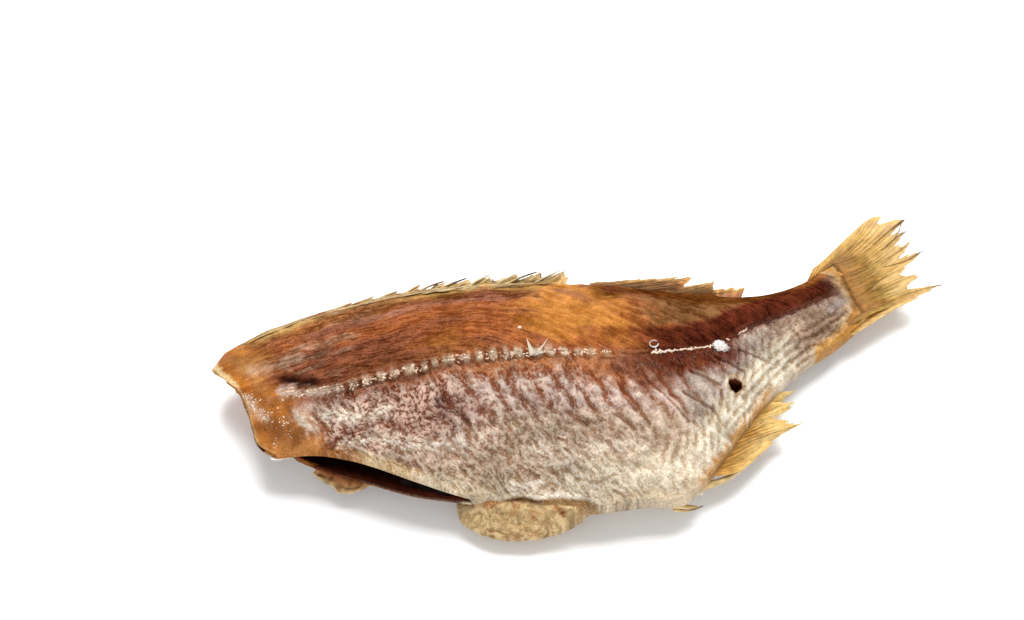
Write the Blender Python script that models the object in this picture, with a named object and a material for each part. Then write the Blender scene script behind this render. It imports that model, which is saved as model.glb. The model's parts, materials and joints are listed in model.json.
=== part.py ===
# Dried redfish: headless and gutted, lying on its right flank with the left flank up.
# +X points to the tail, +Y to the back and +Z up. The origin is under the middle of the
# bounding box, on the surface that the fish lies on.
# Named sizes are in millimetres, and place() turns them into metres.

import math

import bmesh
import bpy
import numpy as np
from mathutils import Matrix, Vector

MM = 0.001

# Body: the middle plane lies level, and comes lower towards the tail
HEAD_X = -125.0
TAIL_BASE_X = 95.5
MID_HEIGHT_FRONT = 14.5
MID_HEIGHT_TAIL = 9.0
MIDDLE_LOWERS_FROM_X = -20.0
CUT_UNDERCUT = 11.0
UNDERCUT_FADES = (-106.0, -62.0)
UNDERCUT_RISES_OVER = 0.15
CUT_FACES = (-0.8, -0.3, -0.5)
LIP_THICKNESS = 2.2
LIP_GAP_AT_THROAT = 0.6
CLOSED_EDGE = 2.4
SLIT_END_X = -53.0
HOLLOW_WIDENS_OVER = 0.4
ROOF_MEETS_OVER = (0.8, 1.0)
ROOF_MEETS_AT = 0.5
FLOOR_SOFTNESS = 1.2
RIDGE_OUT = 0.6
RIDGE_DOWN = 1.5

# Relief of the dried flank: depths, then where it lies
LINE_GROOVE = 0.8
LINE_GROOVE_WIDTH = 2.2
LINE_GROOVE_STARTS = (-112.0, -100.0)
NAPE_HOLLOW_DEPTH = 2.4
NAPE_HOLLOW_AT = (-99.0, 1.5)
NAPE_HOLLOW_REACH = (11.0, 3.0)
BACK_VALLEY = 1.1
BACK_VALLEY_INSET = 10.5
BACK_VALLEY_WIDTH = 3.0
BACK_VALLEY_ENDS = (-112.0, -90.0, -35.0, -8.0)
RIB_PITCH = 7.0
RIB_DEPTH = 0.6
RIB_LEAN = 0.2
RIBS_ALONG = (-72.0, -50.0, 18.0, 36.0)
RIBS_BELOW_LINE = (1.0, 8.0, 24.0, 38.0)
FOLD_PITCH = 6.0
FOLD_DEPTH = 0.45
FOLD_LEAN = 0.55
FOLDS_ALONG = (6.0, 20.0, 58.0, 74.0)
FOLDS_ABOVE_EDGE = (2.0, 5.0, 12.0, 22.0)
EDGE_FADE = 0.08

# The lower belly wall, which sags out from under the upper one
BULGE_AT = (-36.0, -35.0, 6.6)
BULGE_HALF_AXES = (22.5, 13.0, 5.8)
BULGE_TURN = -9.0

# Hole for the string that the fish was hung by
HOLE_RADIUS = 2.2
HOLE_AT = (40.0, -14.4)
HOLE_SIDES = 16
HOLE_CUTTER_LENGTH = 100.0

# Fins
FIN_THICKNESS = 0.9
FIN_ROWS = 4
FIN_PLEAT = 0.4
FIN_SUNK = 3.0
DORSAL_SPINES = 13
DORSAL_FROM_X = -107.0
DORSAL_TO_X = 0.0
DORSAL_TIP_SHARE = 0.9
DORSAL_NOTCH_DEPTH = 0.4
DORSAL_FIRST_REACH = 0.5
DORSAL_LEAN = 5.0
DORSAL_TIP_HEIGHT = 13.9
# The tail fin's root, as (share of the way round its rim, x, y)
TAIL_ROOT = ((0.0, 78.0, 23.5), (0.24, 89.0, 29.0), (0.86, 91.5, 6.5), (1.0, 84.0, 2.0))
TAIL_TIP_HEIGHT = 10.6
ANAL_ROOT_X = (50.0, 20.0)
ANAL_SUNK = 4.0
ANAL_TIP_HEIGHT = 8.4
SOFT_DORSAL_ROOT_X = (3.0, 53.0)
SOFT_DORSAL_TIP_HEIGHT = 12.2
PELVIC_ROOT_X = (-97.0, -77.0)
PELVIC_SUNK = 1.2
PELVIC_TIP_HEIGHT = 6.8

# Anal spines: foot, tip, radius at the foot and at the tip
ANAL_SPINES = {
    "anal_spine": ((19, -44.2, 8.6), (42, -36.4, 8.2), 1.5, 0.5),
    "anal_stub": ((8, -47, 8.8), (17.5, -50, 8.2), 1.4, 0.4),
}
SPINE_SIDES = 8

# Colour, roughness and sharpest smooth edge of the dried skin
SKIN_COLOUR = (0.36, 0.19, 0.09, 1)
SKIN_ROUGHNESS = 0.45
SMOOTH_UP_TO = 40.0

# How finely each stretch of the body is cut: (from x, to x, slices)
STRETCHES = [(HEAD_X, -70.0, 17), (-70.0, 30.0, 44), (30.0, TAIL_BASE_X, 18)]
UPPER_COLUMNS = 22
LOWER_COLUMNS = 14
HOLLOW_COLUMNS = 7
MERGE_WITHIN = 0.02


def smooth_through(*knots):
    """A smooth curve through (place, value) knots, level past both ends."""
    places, values = np.array(knots, float).T
    slopes = np.gradient(values, places)

    def value(place):
        place = min(max(place, places[0]), places[-1])
        i = min(int(np.searchsorted(places, place, side="right")) - 1, len(places) - 2)
        span = places[i + 1] - places[i]
        t = (place - places[i]) / span
        rise = 3 * t**2 - 2 * t**3
        bend_in = (t**3 - 2 * t**2 + t) * span * slopes[i]
        bend_out = (t**3 - t**2) * span * slopes[i + 1]
        return float(values[i] * (1 - rise) + values[i + 1] * rise + bend_in + bend_out)

    return value


# Outlines of the flank, as Y along the length
back_edge = smooth_through(
    (-125.2, 34.7), (-120, 39.8), (-114, 42.4), (-96, 45.9), (-75, 47.9), (-55, 48.3), (-34, 46.3),
    (-10, 41.8), (10, 37.2), (25, 32.4), (41, 26.8), (54, 23.5), (65, 22.7), (76, 24.3), (95.5, 32.5),
)
belly_edge = smooth_through(
    (-112, -4), (-103, -5.5), (-88, -12.7), (-68, -25.5), (-52, -34), (-31, -42.5), (-18, -46.2),
    (0, -48), (13, -49.5), (21, -44.5), (35, -32.5), (50, -19.5), (65, -9.7), (80, -2.8), (95.5, 6),
)
lateral_line = smooth_through(
    (-108, 14.3), (-85, 11.9), (-52, 13.6), (-23, 9.1), (0, 4.5), (20, 1.9), (34, 1.8), (50, 6.2),
    (67, 10.5), (91, 17.3),
)
# The head cut, as X from the belly edge (0) to the back (1)
cut_edge = smooth_through(
    (0, -110), (0.06, -113.9), (0.22, -115.9), (0.36, -116.2), (0.53, -117.7), (0.74, -122), (1, -125.2),
)

# Half thickness above and below the middle plane, along the length
upper_half = smooth_through(
    (-125, 5.5), (-112, 8.5), (-100, 11.8), (-85, 14.6), (-55, 16.5), (-20, 15), (10, 12), (40, 9),
    (65, 6.6), (82, 5.2), (90, 3.6), (95.5, 1.5),
)
lower_half = smooth_through(
    (-125, 9), (-105, 14.5), (-85, 16.5), (-50, 17.2), (-10, 16.6), (20, 13.6), (45, 9.2), (70, 6.2),
    (83, 4.8), (90, 3.4), (95.5, 1.5),
)

# How a flank swells from its belly edge (0) to its fullest height share, and falls to the back (1)
FULLEST_UPPER = 0.62
FULLEST_LOWER = 0.6
swell = smooth_through((0, 0), (0.1, 0.24), (0.3, 0.55), (0.6, 0.85), (1, 1))
fall_upper = smooth_through((FULLEST_UPPER, 1), (0.8, 0.88), (0.92, 0.58), (0.98, 0.27), (1, 0))
fall_lower = smooth_through((FULLEST_LOWER, 1), (0.82, 0.84), (0.93, 0.5), (0.98, 0.24), (1, 0))

# The belly slit and the hollow behind it, along the belly edge
slit_half_gap = smooth_through(
    (-112, LIP_GAP_AT_THROAT), (-104, 1.6), (-94, 4.2), (-82, 5), (-70, 4), (-60, 1.8), (SLIT_END_X, 0.5),
)
hollow_height = smooth_through((-112, 0.44), (-90, 0.42), (-72, 0.36), (-60, 0.22), (SLIT_END_X, 0.06))
hollow_half_width = smooth_through((-112, 5), (-95, 8.2), (-75, 8.8), (-60, 4), (SLIT_END_X, 0.8))

# How far the folded spiny dorsal fin stands beyond the back
dorsal_reach = smooth_through((-107, 1.4), (-90, 2.2), (-60, 4.2), (-43, 5.5), (-22, 6.6), (0, 7.4))

# Ragged rims of the fins, as (x, y): ray tips and the notches between them
TAIL_RIM = [
    (81.8, 29), (87, 33.4), (93.1, 38.6), (100.4, 42.8), (107, 45.3), (112.6, 45.9), (114.6, 43.1),
    (122, 42), (116.8, 38.6), (120.8, 37.4), (115.4, 32.4), (120.7, 31.8), (116.2, 27.2), (125.2, 28.3),
    (111.8, 19.6), (117.9, 18.4), (112.8, 13), (124.7, 11.9), (116, 9.2), (104.8, 6.4), (95, 2.8),
    (87, -0.4),
]
ANAL_RIM = [
    (61.8, -16.1), (54.5, -18.4), (61.5, -20.3), (53.5, -24.4), (61.2, -28.4), (50.4, -31.4), (43.5, -35),
    (38.9, -37.5), (36, -40.3), (30.6, -42.9), (25.3, -44.6),
]
SOFT_DORSAL_RIM = [
    (7, 41.4), (20, 38.9), (32, 36.8), (43, 35.1), (37, 31.8), (48.4, 31.6), (46, 28.2), (57.6, 26.8),
]
PELVIC_RIM = [(-99.6, -7.5), (-96.5, -12), (-92.8, -16.5), (-89.1, -17.6), (-83.7, -16), (-77, -18.4)]


def blend(value, start, end):
    """0 at start, 1 at end, with no corner at either."""
    t = min(max((value - start) / (end - start), 0.0), 1.0)
    return t * t * (3 - 2 * t)


def hump(value, middle, width):
    return math.exp(-(((value - middle) / width) ** 2))


def between(value, ends):
    """Comes in over the first two of the four ends, and goes out over the last two."""
    return blend(value, ends[0], ends[1]) * (1 - blend(value, ends[2], ends[3]))


def middle_height(x):
    lowered = blend(x, MIDDLE_LOWERS_FROM_X, TAIL_BASE_X)
    return MID_HEIGHT_FRONT + (MID_HEIGHT_TAIL - MID_HEIGHT_FRONT) * lowered


def on_floor(z):
    """z flattened onto the surface that the fish lies on."""
    if z <= -FLOOR_SOFTNESS:
        return 0.0
    if z >= FLOOR_SOFTNESS:
        return z
    return (z + FLOOR_SOFTNESS) ** 2 / (4 * FLOOR_SOFTNESS)


def flank_relief(x, y):
    """Hollows, ribs and folds that drying leaves in the upper flank."""
    line = lateral_line(x)
    below = line - y
    groove = -LINE_GROOVE * hump(below, 0, LINE_GROOVE_WIDTH) * blend(x, *LINE_GROOVE_STARTS)
    nape_along = hump(x, NAPE_HOLLOW_AT[0], NAPE_HOLLOW_REACH[0])
    nape_hollow = -NAPE_HOLLOW_DEPTH * nape_along * hump(-below, NAPE_HOLLOW_AT[1], NAPE_HOLLOW_REACH[1])
    inset = back_edge(x) - y
    back_valley = -BACK_VALLEY * hump(inset, BACK_VALLEY_INSET, BACK_VALLEY_WIDTH)
    back_valley *= between(x, BACK_VALLEY_ENDS)
    ribs = RIB_DEPTH * math.cos(2 * math.pi * (x - RIB_LEAN * below) / RIB_PITCH)
    ribs *= between(x, RIBS_ALONG) * between(below, RIBS_BELOW_LINE)
    above = y - belly_edge(x)
    folds = FOLD_DEPTH * math.cos(2 * math.pi * (x - FOLD_LEAN * above) / FOLD_PITCH)
    folds *= between(x, FOLDS_ALONG) * between(above, FOLDS_ABOVE_EDGE)
    return groove + nape_hollow + back_valley + ribs + folds


def flank_x(slice_x, h, recess):
    """Where along the length a slice crosses height share h. Slices lean like the head cut."""
    share = (slice_x - HEAD_X) / (TAIL_BASE_X - HEAD_X)
    start = cut_edge(h) + recess
    return start + (TAIL_BASE_X - start) * share


def flank_y(x, h):
    return belly_edge(x) + h * (back_edge(x) - belly_edge(x))


def slit_is_open(slice_x):
    return flank_x(slice_x, 0, 0) < SLIT_END_X


def undercut(slice_x, h):
    """How much further back the lower flank starts at the head cut, fading out along the slit."""
    fade = 1 - blend(flank_x(slice_x, 0, 0), *UNDERCUT_FADES)
    return CUT_UNDERCUT * blend(1 - h, 0, UNDERCUT_RISES_OVER) * fade


def edge_thickness(slice_x, recess):
    """Half thickness at the belly edge: a lip where the slit is open, a keel where it isn't."""
    if slit_is_open(slice_x):
        return slit_half_gap(flank_x(slice_x, 0, recess)) + LIP_THICKNESS
    return CLOSED_EDGE


def half_thickness(h, edge, full, fullest_at, fall):
    if h <= fullest_at:
        return edge + (full - edge) * swell(h / fullest_at)
    return full * fall(h)


def upper_point(slice_x, h):
    x = flank_x(slice_x, h, 0)
    y = flank_y(x, h)
    rise = half_thickness(h, edge_thickness(slice_x, 0), upper_half(x), FULLEST_UPPER, fall_upper)
    relief = flank_relief(x, y) * blend(h, 0, EDGE_FADE) * blend(1 - h, 0, EDGE_FADE)
    return Vector((x, y, middle_height(x) + rise + relief))


def lower_point(slice_x, h):
    x = flank_x(slice_x, h, undercut(slice_x, h))
    edge = edge_thickness(slice_x, undercut(slice_x, 0))
    drop = half_thickness(h, edge, lower_half(x), FULLEST_LOWER, fall_lower)
    return Vector((x, flank_y(x, h), on_floor(middle_height(x) - drop)))


def hollow_point(slice_x, share, side):
    """The wall of the belly hollow: share 0 at the lip, 1 at the roof; side 1 is the upper wall."""
    h = share * hollow_height(flank_x(slice_x, 0, 0))
    lower_share = 1 if side < 0 else ROOF_MEETS_AT * blend(share, *ROOF_MEETS_OVER)
    x = flank_x(slice_x, h, undercut(slice_x, h) * lower_share)
    edge_x = flank_x(slice_x, 0, undercut(slice_x, 0) if side < 0 else 0)
    gap = slit_half_gap(edge_x)
    width = gap + (hollow_half_width(edge_x) - gap) * blend(share, 0, HOLLOW_WIDENS_OVER)
    return Vector((x, flank_y(x, h), middle_height(x) + side * width * math.sqrt(max(1 - share**2, 0))))


def ring(slice_x):
    """One slice through the fish: round the outside from lip to lip, then round the hollow."""
    upper = [0.5 - 0.5 * math.cos(math.pi * i / UPPER_COLUMNS) for i in range(UPPER_COLUMNS + 1)]
    lower = [0.5 + 0.5 * math.cos(math.pi * i / LOWER_COLUMNS) for i in range(1, LOWER_COLUMNS + 1)]
    outside = [upper_point(slice_x, h) for h in upper] + [lower_point(slice_x, h) for h in lower]
    up_the_wall = [i / HOLLOW_COLUMNS for i in range(HOLLOW_COLUMNS)]
    hollow = [hollow_point(slice_x, share, -1) for share in up_the_wall]
    hollow += [hollow_point(slice_x, 1.0, 1)]
    hollow += [hollow_point(slice_x, share, 1) for share in reversed(up_the_wall)]
    if slit_is_open(slice_x):
        return outside + hollow
    x = flank_x(slice_x, 0, 0)
    ridge = Vector((x, belly_edge(x) - RIDGE_OUT, middle_height(x) - RIDGE_DOWN))
    return [ridge] + outside[1:-1] + [ridge] * (len(hollow) + 1)


def place(point):
    return Vector(point) * MM


def mesh_object(name, bm):
    mesh = bpy.data.meshes.new(name)
    bm.to_mesh(mesh)
    bm.free()
    return bpy.data.objects.new(name, mesh)


def fish_body():
    """The flesh and skin as one tube of slices, closed at the head cut and at the tail."""
    slices = [
        start + (end - start) * i / count for start, end, count in STRETCHES for i in range(count)
    ]
    rings = [ring(slice_x) for slice_x in slices + [TAIL_BASE_X]]
    around = len(rings[0])
    bm = bmesh.new()
    bmesh.ops.create_grid(bm, x_segments=around, y_segments=len(rings) - 1, size=1)
    bm.verts.ensure_lookup_table()
    for row, points in enumerate(rings):
        for column in range(around + 1):
            bm.verts[row * (around + 1) + column].co = place(points[column % around])
    bmesh.ops.remove_doubles(bm, verts=bm.verts, dist=MERGE_WITHIN * MM)
    bmesh.ops.dissolve_degenerate(bm, edges=bm.edges, dist=MERGE_WITHIN * MM / 2)
    open_edges = [edge for edge in bm.edges if edge.is_boundary]
    bmesh.ops.triangle_fill(bm, edges=open_edges, use_beauty=True, normal=CUT_FACES)
    bmesh.ops.triangulate(bm, faces=bm.faces)
    bmesh.ops.recalc_face_normals(bm, faces=bm.faces)
    return mesh_object("dried_fish", bm)


def belly_bulge():
    bm = bmesh.new()
    bmesh.ops.create_uvsphere(bm, u_segments=24, v_segments=12, radius=1)
    turn = Matrix.Rotation(math.radians(BULGE_TURN), 4, "Z")
    shape = turn @ Matrix.Diagonal((*BULGE_HALF_AXES, 1))
    for vert in bm.verts:
        vert.co = place(shape @ vert.co + Vector(BULGE_AT))
    bmesh.ops.triangulate(bm, faces=bm.faces)
    return mesh_object("belly_bulge", bm)


def spine(name, foot, tip, foot_radius, tip_radius):
    """A tapered fin spine, from a foot in the body to its tip."""
    bm = bmesh.new()
    foot, tip = place(foot), place(tip)
    along = tip - foot
    bmesh.ops.create_cone(
        bm, cap_ends=True, segments=SPINE_SIDES, radius1=foot_radius * MM, radius2=tip_radius * MM,
        depth=along.length,
    )
    turn = along.to_track_quat("Z", "Y").to_matrix().to_4x4()
    bmesh.ops.transform(bm, matrix=Matrix.Translation((foot + tip) / 2) @ turn, verts=bm.verts)
    bmesh.ops.triangulate(bm, faces=bm.faces)
    return mesh_object(name, bm)


def with_midpoints(points):
    """The same line with one more point halfway along each stretch."""
    line = [Vector(points[0])]
    for start, end in zip(points, points[1:]):
        line += [(Vector(start) + Vector(end)) / 2, Vector(end)]
    return line


def fin(name, roots, rim, tip_height):
    """A thin web from a line inside the body out to a ragged rim, pleated along its rays."""
    columns = len(rim)
    bm = bmesh.new()
    bmesh.ops.create_grid(bm, x_segments=columns - 1, y_segments=FIN_ROWS, size=1)
    bm.verts.ensure_lookup_table()
    for row in range(FIN_ROWS + 1):
        out = row / FIN_ROWS
        for column in range(columns):
            at = roots[column].lerp(Vector((*rim[column], tip_height)), out)
            pleat = FIN_PLEAT * (1 if column % 2 else -1) * math.sin(math.pi * (0.1 + 0.8 * out))
            bm.verts[row * columns + column].co = place(at + Vector((0, 0, pleat)))
    bmesh.ops.triangulate(bm, faces=bm.faces)
    bmesh.ops.recalc_face_normals(bm, faces=bm.faces)
    bmesh.ops.solidify(bm, geom=bm.faces[:], thickness=FIN_THICKNESS * MM)
    bmesh.ops.triangulate(bm, faces=bm.faces)
    bmesh.ops.recalc_face_normals(bm, faces=bm.faces)
    return mesh_object(name, bm)


def along_edge(edge, ends, sunk, count):
    """Points along an outline of the body, sunk into it, in the middle plane."""
    xs = [ends[0] + (ends[1] - ends[0]) * i / (count - 1) for i in range(count)]
    return [Vector((x, edge(x) + sunk, middle_height(x))) for x in xs]


def tail_fin():
    rim = with_midpoints(TAIL_RIM)
    shares, xs, ys = np.array(TAIL_ROOT).T
    round_the_rim = [i / (len(rim) - 1) for i in range(len(rim))]
    roots = [
        Vector((np.interp(share, shares, xs), np.interp(share, shares, ys), MID_HEIGHT_TAIL))
        for share in round_the_rim
    ]
    return fin("tail_fin", roots, rim, TAIL_TIP_HEIGHT)


def anal_fin():
    rim = with_midpoints(ANAL_RIM)
    roots = along_edge(belly_edge, ANAL_ROOT_X, ANAL_SUNK, len(rim))
    return fin("anal_fin", roots, rim, ANAL_TIP_HEIGHT)


def soft_dorsal_fin():
    rim = with_midpoints(SOFT_DORSAL_RIM)
    roots = along_edge(back_edge, SOFT_DORSAL_ROOT_X, -FIN_SUNK, len(rim))
    return fin("soft_dorsal_fin", roots, rim, SOFT_DORSAL_TIP_HEIGHT)


def pelvic_fin():
    """The dried pelvic fin, which hangs from the lower lip of the slit."""
    rim = with_midpoints(PELVIC_RIM)
    roots = along_edge(belly_edge, PELVIC_ROOT_X, PELVIC_SUNK, len(rim))
    for root in roots:
        root.z -= slit_half_gap(root.x) + LIP_THICKNESS / 2
    return fin("pelvic_fin", roots, rim, PELVIC_TIP_HEIGHT)


def spiny_dorsal_fin():
    """The folded dorsal fin: one tooth for each spine, lying back towards the tail."""
    pitch = (DORSAL_TO_X - DORSAL_FROM_X) / DORSAL_SPINES
    rim = [Vector((DORSAL_FROM_X, back_edge(DORSAL_FROM_X) + DORSAL_FIRST_REACH))]
    for i in range(DORSAL_SPINES):
        tip_x = DORSAL_FROM_X + (i + DORSAL_TIP_SHARE) * pitch
        notch_x = DORSAL_FROM_X + (i + 1) * pitch
        notch_reach = (1 - DORSAL_NOTCH_DEPTH) * dorsal_reach(notch_x)
        rim.append(Vector((tip_x, back_edge(tip_x) + dorsal_reach(tip_x))))
        rim.append(Vector((notch_x, back_edge(notch_x) + notch_reach)))
    ends = (DORSAL_FROM_X - DORSAL_LEAN, DORSAL_TO_X - DORSAL_LEAN)
    roots = along_edge(back_edge, ends, -FIN_SUNK, len(rim))
    return fin("spiny_dorsal_fin", roots, rim, DORSAL_TIP_HEIGHT)


def fuse(fish, pieces):
    """Everything joined to the body as one closed solid."""
    group = bpy.data.collections.new("to_fuse")
    bpy.context.scene.collection.children.link(group)
    for piece in pieces:
        group.objects.link(piece)
    union = fish.modifiers.new("fuse", "BOOLEAN")
    union.operation = "UNION"
    union.operand_type = "COLLECTION"
    union.collection = group
    apply_modifier(fish, union)
    for piece in pieces:
        bpy.data.objects.remove(piece)
    bpy.data.collections.remove(group)


def bore_hole(fish):
    bm = bmesh.new()
    bmesh.ops.create_cone(
        bm, cap_ends=True, segments=HOLE_SIDES, radius1=HOLE_RADIUS * MM, radius2=HOLE_RADIUS * MM,
        depth=HOLE_CUTTER_LENGTH * MM,
    )
    bmesh.ops.translate(bm, vec=place((*HOLE_AT, 0)), verts=bm.verts)
    cutter = mesh_object("hole_cutter", bm)
    bpy.context.scene.collection.objects.link(cutter)
    cut = fish.modifiers.new("hole", "BOOLEAN")
    cut.operation = "DIFFERENCE"
    cut.object = cutter
    apply_modifier(fish, cut)
    bpy.data.objects.remove(cutter)


def apply_modifier(target, modifier):
    with bpy.context.temp_override(object=target):
        bpy.ops.object.modifier_apply(modifier=modifier.name)


def centre_on_box(fish):
    """Moves the mesh so that the origin is under the middle of its bounding box."""
    corners = np.array([vert.co for vert in fish.data.vertices])
    middle = (corners.min(axis=0) + corners.max(axis=0)) / 2
    fish.data.transform(Matrix.Translation((-middle[0], -middle[1], -corners[:, 2].min())))


def skin_material():
    material = bpy.data.materials.new("dried_skin")
    material.use_nodes = True
    surface = material.node_tree.nodes["Principled BSDF"]
    surface.inputs["Base Color"].default_value = SKIN_COLOUR
    surface.inputs["Roughness"].default_value = SKIN_ROUGHNESS
    surface.inputs["Metallic"].default_value = 0
    return material


def main():
    for old in list(bpy.data.objects):
        bpy.data.objects.remove(old)
    fish = fish_body()
    bpy.context.scene.collection.objects.link(fish)
    fins = [tail_fin(), anal_fin(), soft_dorsal_fin(), spiny_dorsal_fin(), pelvic_fin()]
    spines = [spine(name, *shape) for name, shape in ANAL_SPINES.items()]
    fuse(fish, fins + spines + [belly_bulge()])
    bore_hole(fish)
    centre_on_box(fish)
    fish.data.materials.clear()
    fish.data.materials.append(skin_material())
    fish.data.shade_smooth()
    fish.data.set_sharp_from_angle(angle=math.radians(SMOOTH_UP_TO))


main()
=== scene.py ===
# Dried redfish: headless and gutted, lying on one flank with the other flank up.
# Sizes are in millimetres: x towards the tail, y towards the back, z up. place() turns them
# into the metres of the frame.
import json
import math

import bmesh
import bpy
import numpy as np
from mathutils import Matrix, Vector
from mathutils.bvhtree import BVHTree

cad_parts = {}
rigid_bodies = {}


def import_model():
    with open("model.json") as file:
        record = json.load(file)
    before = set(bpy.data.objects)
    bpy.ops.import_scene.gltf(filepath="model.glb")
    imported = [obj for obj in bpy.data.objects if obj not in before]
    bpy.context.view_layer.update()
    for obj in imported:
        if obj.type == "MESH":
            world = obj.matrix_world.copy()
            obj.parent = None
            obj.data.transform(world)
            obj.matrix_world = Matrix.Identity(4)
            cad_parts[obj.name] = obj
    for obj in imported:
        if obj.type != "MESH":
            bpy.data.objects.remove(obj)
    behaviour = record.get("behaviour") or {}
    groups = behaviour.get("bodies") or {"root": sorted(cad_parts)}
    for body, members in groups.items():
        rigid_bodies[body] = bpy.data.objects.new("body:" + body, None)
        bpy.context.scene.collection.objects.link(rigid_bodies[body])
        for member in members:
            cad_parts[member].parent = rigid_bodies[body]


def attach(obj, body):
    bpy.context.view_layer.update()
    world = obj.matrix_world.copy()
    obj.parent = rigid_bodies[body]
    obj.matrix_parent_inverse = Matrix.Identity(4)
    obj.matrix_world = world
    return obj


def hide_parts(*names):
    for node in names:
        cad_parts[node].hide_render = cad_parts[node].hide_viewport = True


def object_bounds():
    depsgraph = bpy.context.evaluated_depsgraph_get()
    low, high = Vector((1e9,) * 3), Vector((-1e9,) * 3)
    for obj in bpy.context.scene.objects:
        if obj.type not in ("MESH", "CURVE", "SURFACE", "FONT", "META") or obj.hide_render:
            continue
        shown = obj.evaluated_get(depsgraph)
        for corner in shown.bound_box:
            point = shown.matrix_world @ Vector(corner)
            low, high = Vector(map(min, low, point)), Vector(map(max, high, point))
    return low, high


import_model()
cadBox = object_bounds()
scene = bpy.context.scene
mm = 0.001
boxMargin = 0.00016   # in metres: keeps the thickened edges inside the solid's box
frameShift = (-0.026, -1.156, 0.0)   # from where the outlines are drawn to the frame's origin
print("frame loaded")


# Curves, blends and noise that every piece uses

def smoothThrough(*knots):
    places, values = np.array(knots, float).T
    slopes = np.gradient(values, places)

    def value(place):
        place = np.clip(place, places[0], places[-1])
        i = np.clip(np.searchsorted(places, place, side="right") - 1, 0, len(places) - 2)
        span = places[i + 1] - places[i]
        t = (place - places[i]) / span
        rise = 3 * t**2 - 2 * t**3
        bendIn = (t**3 - 2 * t**2 + t) * span * slopes[i]
        bendOut = (t**3 - t**2) * span * slopes[i + 1]
        return values[i] * (1 - rise) + values[i + 1] * rise + bendIn + bendOut

    return value


def blend(value, start, end):
    t = np.clip((value - start) / (end - start), 0, 1)
    return t * t * (3 - 2 * t)


def between(value, ends):   # comes in over the first two ends, goes out over the last two
    return blend(value, ends[0], ends[1]) * (1 - blend(value, ends[2], ends[3]))


def hump(value, middle, width):
    return np.exp(-(((value - middle) / width) ** 2))


def scramble(a, b, seed):   # the same random share for the same pair of whole numbers
    a, b = np.asarray(a), np.asarray(b)
    n = (a.astype(np.int64) * 374761393 + b.astype(np.int64) * 668265263 + seed * 974634777) & 0xFFFFFFFF
    n = ((n ^ (n >> 13)) * 1274126177) & 0xFFFFFFFF
    return ((n ^ (n >> 16)) & 0xFFFF) / 65536.0


def hills(x, y, seed):   # smooth hills and dips, one for each unit, about -1 to 1
    x, y = np.broadcast_arrays(np.asarray(x, float), np.asarray(y, float))
    cellX, cellY = np.floor(x), np.floor(y)
    total = 0
    for stepX in (0, 1):
        for stepY in (0, 1):
            angle = scramble(cellX + stepX, cellY + stepY, seed) * 2 * math.pi
            dx, dy = x - cellX - stepX, y - cellY - stepY
            near = blend(1 - np.abs(dx), 0, 1) * blend(1 - np.abs(dy), 0, 1)
            total = total + near * (np.cos(angle) * dx + np.sin(angle) * dy)
    return total * 1.6


def roughHills(x, y, seed, octaves=3):
    return sum(hills(x * 2**k, y * 2**k, seed + k) / 2**k for k in range(octaves)) / 1.5


def pillows(x, y, seed, octaves=2):   # rounded swellings with sharp creases between them
    return sum(np.abs(hills(x * 2**k, y * 2**k, seed + k)) / 1.7**k for k in range(octaves)) * 1.3


def cells(x, y, seed):   # distance to the nearest of scattered points, and from the walls between them
    cellX, cellY = np.floor(x), np.floor(y)
    near, far = np.full(np.shape(x), 9.0), np.full(np.shape(x), 9.0)
    for stepX in (-1, 0, 1):
        for stepY in (-1, 0, 1):
            pointX = cellX + stepX + scramble(cellX + stepX, cellY + stepY, seed)
            pointY = cellY + stepY + scramble(cellX + stepX, cellY + stepY, seed + 1)
            distance = np.hypot(x - pointX, y - pointY)
            far = np.minimum(far, np.maximum(near, distance))
            near = np.minimum(near, distance)
    return near, far - near


def mix(start, end, share):
    return start + (end - start) * share


def draws(item, count, seed):   # random shares that belong to one item
    return [float(scramble(item, draw, seed)) for draw in range(count)]


def drawer(items, seed):   # gives a column of random shares, one for each item, for each number asked
    return lambda draw: scramble(items, draw, seed)[:, None]


def closedEnds(t):   # 0 at both ends of a strand, so that it closes there, and 1 between them
    return np.where((t <= 0) | (t >= 1), 0, 1)


def even(field):   # shifted and stretched to a mean of 0 and a usual size of 1
    return (field - field.mean()) / field.std()


def toLine(x, y, knots):   # distance to a broken line
    nearest = np.full(np.shape(x), 1e9)
    for (ax, ay), (bx, by) in zip(knots, knots[1:]):
        span = (bx - ax) ** 2 + (by - ay) ** 2
        t = np.clip(((x - ax) * (bx - ax) + (y - ay) * (by - ay)) / span, 0, 1)
        nearest = np.minimum(nearest, np.hypot(x - ax - t * (bx - ax), y - ay - t * (by - ay)))
    return nearest


def blurred(field, reach):   # averaged over the neighbouring rows and columns
    for axis in (0, 1):
        ends = [(reach + 1, reach) if a == axis else (0, 0) for a in (0, 1)]
        total = np.cumsum(np.pad(field, ends, mode="edge"), axis=axis)
        width = 2 * reach + 1
        high, low = [slice(None)] * 2, [slice(None)] * 2
        high[axis], low[axis] = slice(width, None), slice(None, -width)
        field = (total[tuple(high)] - total[tuple(low)]) / width
    return field


def place(points):
    return (np.asarray(points, float) + frameShift) * mm


def linked(name, data):   # a new object of the scene
    made = bpy.data.objects.new(name, data)
    scene.collection.objects.link(made)
    return made


def thicken(made, thickness):   # gives a sheet its thickness, half of it on each side
    made.data.shade_smooth()
    wall = made.modifiers.new("thickness", "SOLIDIFY")
    wall.thickness = thickness * mm
    wall.offset = 0
    return made


# Outlines of the flank, and its half thickness above and below the middle plane

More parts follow.
